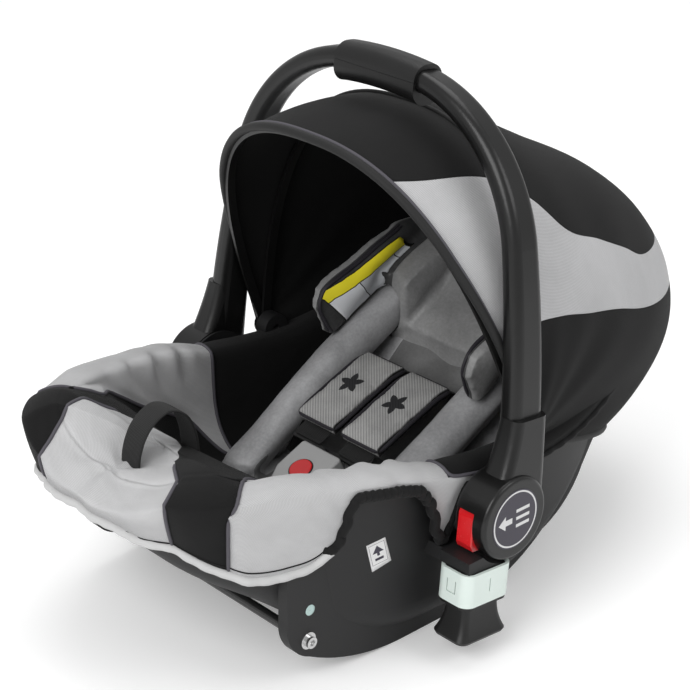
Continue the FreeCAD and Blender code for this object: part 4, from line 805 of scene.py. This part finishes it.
def laid_on(skin, points, lift):
    """The points moved to the nearest place on the skin and lifted off it."""
    out = []
    for point in points.reshape(-1, 3):
        place, turned, _, _ = skin.find_nearest(Vector(point))
        out.append(place + turned * lift)
    return np.array(out).reshape(points.shape)


hem_mesh = twill("hem_mesh", grey(0.50), 0.0020, 0.75, 0.05, 0.15)
cover_cloth = two_cloths("cover_cloth", ("middle", "side"),
                         lambda middle, side: (middle > 0.0).most(side > 0.0), 0.002, 16.0, 0.74,
                         grey(0.36, (1, 1, 1.01)), grey(0.60, (1, 1, 1.01)))
cover = surface("seat_cover_cloth", joined, "base", cover_cloth, join_fields,
                closed=(True, False), outward=(0, 0, -5.0), thick=0.0016, lining=lining_cloth)
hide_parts("seat_cover")
cover_skin = BVHTree.FromPolygons([v.co for v in cover.data.vertices],
                                  [p.vertices for p in cover.data.polygons])
on_top = np.ones(joined.shape[:2], bool)
on_top[:, :12] = False
for key in ("middle", "side"):
    for k, line in enumerate(seam_paths(joined, join_fields[key], on_top)):
        cord_tube("cover_piping_%s_%d" % (key, k), laid_on(cover_skin, line, 0.0006), 0.0017,
                  piping_grey, sides=8)
hem_line = joined[:, -1]
plan_y = hem_line[:, 1] - hub[1]
elastic = np.abs(plan_y + 0.100) < 0.073
gathers = np.arange(len(hem_line)) / len(hem_line) * 2 * np.pi
hem_ring = hem_line + unit(hem_line - (0, hub[1], 0.1)) * (0.0008 * np.sin(gathers * 96))[:, None]
hem_ring = hem_ring - (0, 0, 0.001)
ahead = plan_y < -0.155
first = int(np.flatnonzero(ahead)[-1]) + 1
turn_to = np.roll(np.arange(len(ahead)), -first)
rear_count = int((~ahead).sum())
cord_tube("cover_hem_rear", hem_ring[turn_to][:rear_count], 0.0030, black_twill)
cord_tube("cover_hem_front", hem_ring[turn_to][rear_count:], 0.0042, hem_mesh)
cord_tube("cover_stitches", laid_on(cover_skin, joined[:, -4], 0.0002), 0.0007, black_twill,
          sides=6, closed=True)
ELASTIC_POINTS = 150
for sign, name in ((1, "near"), (-1, "far")):
    here = elastic & (np.sign(hem_line[:, 0]) == sign)
    line = hem_line[here]
    line = line[np.argsort(line[:, 1])]
    line = sampled(line, np.arange(len(line)), np.linspace(0, len(line) - 1, ELASTIC_POINTS))
    ruffle = np.sin(np.linspace(0, 2 * np.pi * 22, ELASTIC_POINTS))
    from_start = np.arange(ELASTIC_POINTS)
    tucked = 0.006 * rising(np.minimum(from_start, from_start[::-1]), 9, 0)
    line = line + np.stack([sign * (0.0012 + 0.0009 * ruffle - tucked), 0.0008 * ruffle,
                            0.0012 * ruffle + tucked], -1)
    cord_tube("cover_elastic_" + name, line, 0.0048, black_twill)


# --- The body insert and the head pad, silver-grey satin cases filled with wadding: a flat pad with
# a stuffed roll down each side, and a back slab whose cheeks wrap the rolls and carry two wings.
CLOTH_FRAMES = 20


def stuffed(name, source, material, voxel, taken_in, most, pressure=4.0, rest=-0.2):
    """A sewn case filled with wadding. The solid's skin is remeshed, taken in and blown up as
    cloth; no point moves further than most, and what rests on something below hardly moves."""
    piece = bpy.data.objects.new(name, nodes[source].data.copy())
    piece.matrix_world = nodes[source].matrix_world.copy()
    scene.collection.objects.link(piece)
    bm = bmesh.new()
    bm.from_mesh(piece.data)
    bmesh.ops.remove_doubles(bm, verts=bm.verts, dist=1e-5)
    bm.to_mesh(piece.data)
    bm.free()
    skin = piece.modifiers.new("skin", "REMESH")
    skin.mode = "VOXEL"
    skin.voxel_size = voxel
    settled(piece)
    old = corners(piece.data)
    turned = corners(piece.data, "normal")
    move(piece.data, old - turned * taken_in)
    cloth = piece.modifiers.new("cloth", "CLOTH")
    for key, value in (("quality", 6), ("use_pressure", True), ("bending_stiffness", 0.6),
                       ("uniform_pressure_force", pressure), ("tension_stiffness", 12),
                       ("compression_stiffness", 4)):
        setattr(cloth.settings, key, value)
    cloth.settings.effector_weights.gravity = 0
    cloth.point_cache.frame_end = CLOTH_FRAMES
    for step in range(CLOTH_FRAMES):
        scene.frame_set(step + 1)
    settled(piece)
    scene.frame_set(1)
    moved = corners(piece.data) - old
    far = np.linalg.norm(moved, axis=1, keepdims=True)
    allowed = most * np.clip((turned[:, 2:] - rest) / 0.4, 0.08, 1)
    move(piece.data, old + moved * np.minimum(1, allowed / np.maximum(far, 1e-9)))
    smooth(piece.data)
    piece.data.materials.clear()
    piece.data.materials.append(material)
    finer = piece.modifiers.new("finer", "SUBSURF")
    finer.levels = finer.render_levels = 1
    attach(piece, "base")
    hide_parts(source)
    return piece


def settled(piece):
    """Takes what the modifiers make as the piece's own mesh."""
    bpy.context.view_layer.update()
    view = bpy.context.evaluated_depsgraph_get()
    made = bpy.data.meshes.new_from_object(piece.evaluated_get(view))
    piece.modifiers.clear()
    piece.data = made


def shape_by(piece, change):
    """Moves each vertex along its normal by change(place below the hub, normal)."""
    place, turned = corners(piece.data), corners(piece.data, "normal")
    lift = change(place - (0, hub[1], 0), turned)
    move(piece.data, place + turned * lift[:, None])
    piece.data.update()


def satin(name, shine=0.0):
    """Silky woven cloth in the making, how far it is from the middle, its slow patches, its fine
    irregular slub and the mask they make."""
    made = Finish(name, Metallic=shine, Sheen_Weight=0.08, Sheen_Roughness=0.4, IOR=1.4)
    off_middle = abs(made.place()[0])
    slow = made.noise(11.0, 5.0, 0.6)
    slub = made.noise(330.0, 2.0, 0.6)
    return made, off_middle, slow, slub, (slow * 0.8 + slub * 0.25).ramp(0.3, 0.85)


def insert_cloth(half=0.064):
    """Silver-grey satin, sewn along two seams to a plain mesh panel in the middle."""
    made, off_middle, slow, slub, mask = satin("insert_satin", 0.2)
    plain = off_middle < half
    seam = 1 - abs(off_middle - half).ramp(0.0, 0.0018)
    colour = made.blend(plain, made.blend(mask, grey(0.25, (1, 1, 1.02)), grey(0.52, (1, 1, 1.02))),
                        made.blend(mask, grey(0.12), grey(0.22)))
    height = slub * 0.6 + made.noise(900.0, 2.0) * 0.3
    return made.feed(colour, slow * 0.14 + 0.37, height * (plain + 1.0) - seam, 0.0002)


def head_cloth(centre=0.0915, half=0.0125):
    """Charcoal satin inside the wings, grey mesh over the slab and round their outside."""
    made, off_middle, slow, slub, mask = satin("head_cloth")
    off_centre = abs(off_middle - centre)
    colour = made.blend(off_centre < half, made.blend(mask, grey(0.17), grey(0.34)),
                        made.blend(mask, grey(0.03), grey(0.075, (1, 1, 1.02))))
    seam = 1 - abs(off_centre - half).ramp(0.0, 0.0015)
    return made.feed(colour, slow * 0.14 + 0.38, slub - seam * 3.0, 0.0002)


def insert_creases(place, turned):
    """Slack cloth in the lap and behind the shoulder pads, pinches across the rolls."""
    x, y, z = place.T
    up = np.clip(turned[:, 2], 0, 1)
    roll = rising(np.abs(x), 0.060, 0.080)
    waves = np.sin(y * 115 + 40 * x + 1.2 * np.sin(x * 60)) * 0.0022 * hump(y, 0.150, 0.05)
    waves += np.sin((x * 1.3 - y) * 95) * 0.0015 * hump(y, 0.10, 0.07)
    waves *= 1 - roll
    pinch = np.sin(y * 210 + 1.5 * np.sin(z * 90)) * 0.0002 * roll
    end = hump(y, 0.20, 0.03) * np.sin(y * 300 + x * 120) * 0.0018 * roll
    return (waves + pinch + end) * up


def wing_creases(place, turned):
    """The wings pull in a little along their sewn front edge."""
    _, y, z = place.T
    return -0.0015 * hump(y, 0.066, 0.012) + np.sin(z * 120 + y * 60) * 0.0007


insert = stuffed("insert_case", "body_insert", insert_cloth(), 0.005, 0.002, 0.007)
shape_by(insert, insert_creases)
head = stuffed("head_pad_case", "head_pad", head_cloth(), 0.005, 0.002, 0.007, rest=-0.6)
shape_by(head, wing_creases)


# --- The harness: black webbing, pads of pale mesh bound in grey piping over the shoulder straps,
# a light grey buckle with its red button on a soft backing, and blackened tongues.

# how far the shoulder straps are from the middle, and how thick webbing is
STRAP_X, WEBBING = 0.031, 0.0018


def side_path(points, x, count=60):
    """A path in a plane beside the middle, evenly spaced through points (Y, Z)."""
    chord = along_line(points)
    line = spline(chord, points, np.linspace(0, chord[-1], count))
    return from_hub(np.column_stack([np.full(count, x), line]))


def ribbon(name, path, width, side=(1.0, 0, 0), thick=WEBBING):
    """Webbing along a path: a flat section with round edges, closed at both ends."""
    tangent = unit(np.gradient(path, axis=0))
    side = unit(side - tangent * np.sum(side * tangent, -1, keepdims=True))
    normal = np.cross(tangent, side)
    c, s = circle(28)
    across = squared(c, 0.28) * width / 2
    lift = squared(s, 0.6) * thick / 2
    size = np.ones(len(path))
    size[0] = size[-1] = 0.02
    wide = across[None, :] * np.maximum(size, 0.92)[:, None]
    high = lift[None, :] * size[:, None]
    rows = path[:, None] + side[:, None] * wide[..., None] + normal[:, None] * high[..., None]
    piece = skin_round(name, rows, "base", black_webbing)
    lay_out(piece.data, np.stack(np.meshgrid(along_line(path), across, indexing="ij"), -1))
    return piece


def webbing(name, colour):
    """Narrow woven tape: ribs along it, crossed by fine picks."""
    made = Finish(name, Sheen_Weight=0.05, Sheen_Roughness=0.5, IOR=1.35)
    along, across = made.cut()
    ribs = across.wave(0.0016)
    picks = along.wave(0.0012)
    slow = made.noise(30.0, 3.0)
    mask = (slow * 0.7 + ribs * 0.15 + picks * 0.1).ramp(0.2, 0.8)
    return made.feed(made.blend(mask, *around(colour, 0.7, 1.4)), slow * 0.1 + 0.62,
                     ribs * 0.7 + ribs * picks * 0.5, 0.00025)


def pad_mesh():
    """Ribbed mesh on top, black twill down the sides, and a plain dark star woven into the top."""
    made = Finish("pad_mesh", Sheen_Weight=0.05, Sheen_Roughness=0.4, IOR=1.35)
    x, y, _ = made.place()
    ribs = (x * 0.68 + y * 0.73).wave(MESH_PITCH)
    slow = made.noise(24.0, 4.0, 0.6)
    fine = made.noise(700.0, 2.0)
    over, along = abs(x) - STRAP_X, y - (float(hub[1]) + 0.040)
    arm = abs(along.math("ARCTAN2", over) * (5 / (2 * math.pi)) + 9.0).math("FRACT")
    reach = abs(arm - 0.5) * 0.015 + 0.0060
    star = (over * over + along * along).root() < reach
    pale = made.blend((slow * 0.7 + ribs * 0.16 + fine * 0.15).ramp(0.1, 0.85), grey(0.20),
                      grey(0.46, (1, 0.99, 0.97)))
    colour = made.blend(star, pale, grey(0.02, (1, 1, 1.1)))
    colour = made.blend(abs(over).ramp(0.0235, 0.0255), colour, grey(0.008))
    return made.feed(colour, slow * 0.1 + 0.68, ribs * 0.5 + fine * 0.3, 0.0002)


def round_loop(half_x, half_y, square, count=100):
    """A rectangle with round corners about its middle: a superellipse."""
    c, s = circle(count)
    return np.stack([half_x * squared(c, square), half_y * squared(s, square)], -1)


pad_cloth = pad_mesh()
piping_plum = twill("piping_plum", grey(0.026, (1, 0.92, 1.12)), 0.0016, 0.5)
black_webbing = webbing("black_webbing", grey(0.012))
SHOULDER = [(-.018, .1216), (0, .1296), (.040, .1466), (.075, .1585), (.098, .160), (.112, .152),
            (.145, .113)]
PAD_PATH = [(-.0066, .1340), (-.0026, .1358), (.0373, .1528), (.0737, .1656), (.0893, .1670)]
for sign, hand in HANDS:
    strap = ribbon("shoulder_webbing_" + hand, side_path(SHOULDER, sign * STRAP_X), 0.038)
    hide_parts("shoulder_strap_" + hand)
    start, end = from_hub((sign * .052, -.016, .1172)), from_hub((sign * .062, .022, .084))
    share = np.linspace(0, 1, 12)[:, None]
    lap = ribbon("lap_webbing_" + hand, between(start, end, share), 0.034, (0, 0.74, 0.67))
    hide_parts("lap_strap_" + hand)
    pad = stuffed("shoulder_pad_case_" + hand, "shoulder_pad_" + hand, pad_cloth, 0.0025, 0.0008,
                  0.0028, 3.0, rest=-0.6)
    middle = side_path(PAD_PATH, sign * STRAP_X, 200)
    loop = round_loop(0.0272, 0.5, 0.2)
    place = (loop[:, 1] + 0.5) * 199
    ring = sampled(middle, np.arange(200), place)
    ring[:, 0] += loop[:, 0]
    ring[:, 2] += 0.0015
    cord_tube("shoulder_piping_" + hand, ring, 0.0019, piping_plum, closed=True)


# --- The crotch strap up to the buckle, the soft pad behind it, the buckle's dark gasket and the
# pull strap of the harness adjuster, a folded loop of webbing at the foot end.
def in_buckle(points):
    """Points along the buckle's own axes, moved to its place on its slope."""
    x, y, z = np.moveaxis(np.asarray(points, float), -1, 0)
    c, s = math.cos(math.radians(23)), math.sin(math.radians(23))
    return from_hub(np.stack([x, -0.050 + c * y - s * z, 0.105 + s * y + c * z], -1))


CROTCH = [(-.088, .0625), (-.088, .078), (-.0868, .0862), (-.0828, .0897), (-.0777, .0919)]
crotch = ribbon("crotch_webbing", side_path(CROTCH, 0.0), 0.038)
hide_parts("crotch_strap")
backing = stuffed("crotch_pad_case", "crotch_pad", pad_cloth, 0.0025, 0.0005, 0.002, 3.0, rest=-0.6)
edge = round_loop(0.0342, 0.0392, 0.45)
edge = np.column_stack([edge[:, 0], edge[:, 1] + 0.001, np.full(len(edge), -0.0118)])
cord_tube("crotch_piping", in_buckle(edge), 0.0024, piping_plum, closed=True)
ring = round_loop(0.0119, 0.0119, 1.0, 60)
ring = np.column_stack([ring, np.full(60, 0.0090)])
gasket = cord_tube("buckle_gasket", in_buckle(ring), 0.0007, piping_black, sides=8, closed=True)
LOOP = [(-.2505, .1815), (-.2475, .204), (-.237, .2235), (-.215, .2345), (-.196, .2245),
        (-.1865, .204), (-.1836, .1815)]
pull = ribbon("pull_webbing", side_path(LOOP, 0.0, 80), 0.026, thick=0.0026)
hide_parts("pull_strap_loop")


# --- The plain patch sewn to the inside of the far head wing: a yellow strip over white fields
# parted by thin black lines. It carries no print.
def patch(ends, count=24):
    """Points between four corners, first along and then down."""
    a, b, c, d = from_hub(ends)
    share = np.linspace(0, 1, count)
    u, v = share[:, None, None], share[None, :, None]
    return between(between(a, b, u), between(d, c, u), v)


def pressed_on(target, points, lift):
    """The points laid on the target as its modifiers leave it."""
    bpy.context.view_layer.update()
    view = bpy.context.evaluated_depsgraph_get()
    return laid_on(BVHTree.FromObject(target, view), points, lift)


def woven_patch(strip=0.0152, columns=(0.0405, 0.0945)):
    """Yellow above the strip's edge, white below it, with black lines between the columns."""
    made = Finish("woven_patch", Roughness=0.6, IOR=1.4)
    u, v = made.cut()
    slow = made.noise(60.0, 3.0)
    fine = made.noise(900.0, 2.0)
    white = made.blend(slow, grey(0.80, (0.98, 1, 1.03)), grey(0.90, (0.98, 1, 1.03)))
    field = made.blend(u > columns[0], white, grey(0.66, (0.97, 1, 1.04)))
    body = made.blend(v > 0.0148, (0.92, 0.80, 0.03, 1), field)
    line = abs(v - strip) < 0.0006
    for column in columns:
        line = line.most((abs(u - column) < 0.0006) * (v > 0.015))
    rim = (u < 0.0014).most(v < 0.0014).most(u > 0.1118).most(v > 0.0595)
    return made.feed(made.blend(line.most(rim), body, grey(0.008)), slow * 0.2 + 0.45, fine, 0.0001)


IN_WING = [(-.090, .051, .232), (-.090, .1602, .2658), (-.090, .2072, .2238), (-.090, .094, .188)]
label = surface("wing_patch", pressed_on(head, patch(IN_WING), 0.0011), "base", woven_patch(),
                outward=(-5.0, 0, 0.2), thick=0.0004)

# --- Double piping along the front edge of each head wing.
EDGE = [(.077, .178), (.062, .196), (.053, .214), (.052, .226), (.060, .236), (.084, .247),
        (.125, .262), (.170, .276)]
for sign, hand in HANDS:
    for k, inset in enumerate((0.0935, 0.0985)):
        line = side_path(EDGE, sign * inset, 90)
        line = pressed_on(head, line[None], 0.0005)[0]
        cord_tube("wing_piping_%s_%d" % (hand, k), evenly(line, 0.003, 6), 0.0016, piping_plum,
                  sides=8)


# --- The plain instruction disc on each hub: a dark plum disc with a white ring, an arrow
# towards the foot end and three bars.
def hub_disc():
    made = Finish("hub_disc", IOR=1.45, Coat_Weight=0.3, Coat_Roughness=0.1)
    _, y, z = made.place()
    y, z = y - float(hub[1]), z - float(hub[2])
    far = (y * y + z * z).root()
    ring = abs(far - 0.0268) < 0.0008
    arrow = (abs(z) < (y + 0.0215) * 0.8) * (y < -0.0125)
    shaft = (abs(z) < 0.0028) * (y > -0.0126) * (y < -0.004)
    bars = (y > 0.001) * (y < 0.018) * (abs(abs(z) - 0.0075).least(abs(z)) < 0.0016)
    slow = made.noise(40.0, 3.0)
    ink = made.blend(slow, (0.012, 0.009, 0.022, 1), (0.018, 0.013, 0.03, 1))
    print_there = ring.most(arrow).most(shaft).most(bars)
    return made.feed(made.blend(print_there, ink, grey(0.62)), slow * 0.1 + 0.3)


dress(hub_disc(), "hub_label")


# --- On the near wall: a white plate with a plain arrow, and a small round pale seal by the screw.
def arrow_plate():
    made = Finish("arrow_plate", IOR=1.45, Coat_Weight=0.2)
    u, v = made.cut()
    slow = made.noise(50.0, 3.0)
    over, up = abs(u - 0.0101), abs(v - 0.0135)
    rim = (over > 0.0083).most(up > 0.0112)
    thin = (over > 0.0079).most(up > 0.0108) * (1 - rim)
    head_there = (over < (v - 0.0045) * 0.75) * (v < 0.0125)
    stem = (over < 0.0014) * (v > 0.0124) * (v < 0.0160)
    bar = (over < 0.0045) * (abs(v - 0.0195) < 0.0014)
    dark = thin.most(head_there).most(stem).most(bar)
    return made.feed(made.blend(dark, grey(0.72), (0.02, 0.015, 0.035, 1)), slow * 0.1 + 0.3)


plate = [(.1583, -.1166, .1243), (.1614, -.0967, .1268), (.1614, -.0890, .1000),
         (.1583, -.1092, .0946)]
surface("arrow_label", pressed_on(nodes["shell"], patch(plate, 8), 0.0004), "base", arrow_plate(),
        outward=(-5.0, 0, 0.1), thick=0.0003)
seal = plastic("pale_seal", (0.42, 0.56, 0.54, 1), 0.35, 0.00003, 300.0, 0.1, 0.2)
c, s = circle(40)
radii = np.linspace(0.0002, 0.0052, 5)
spot = np.stack([np.full((40, 5), 0.1503), -0.1751 + c[:, None] * radii,
                 0.0799 + s[:, None] * radii], -1)
surface("round_seal", pressed_on(nodes["shell"], from_hub(spot), 0.0004), "base", seal,
        closed=(True, False), outward=(-5.0, 0, 0.1), thick=0.0003)
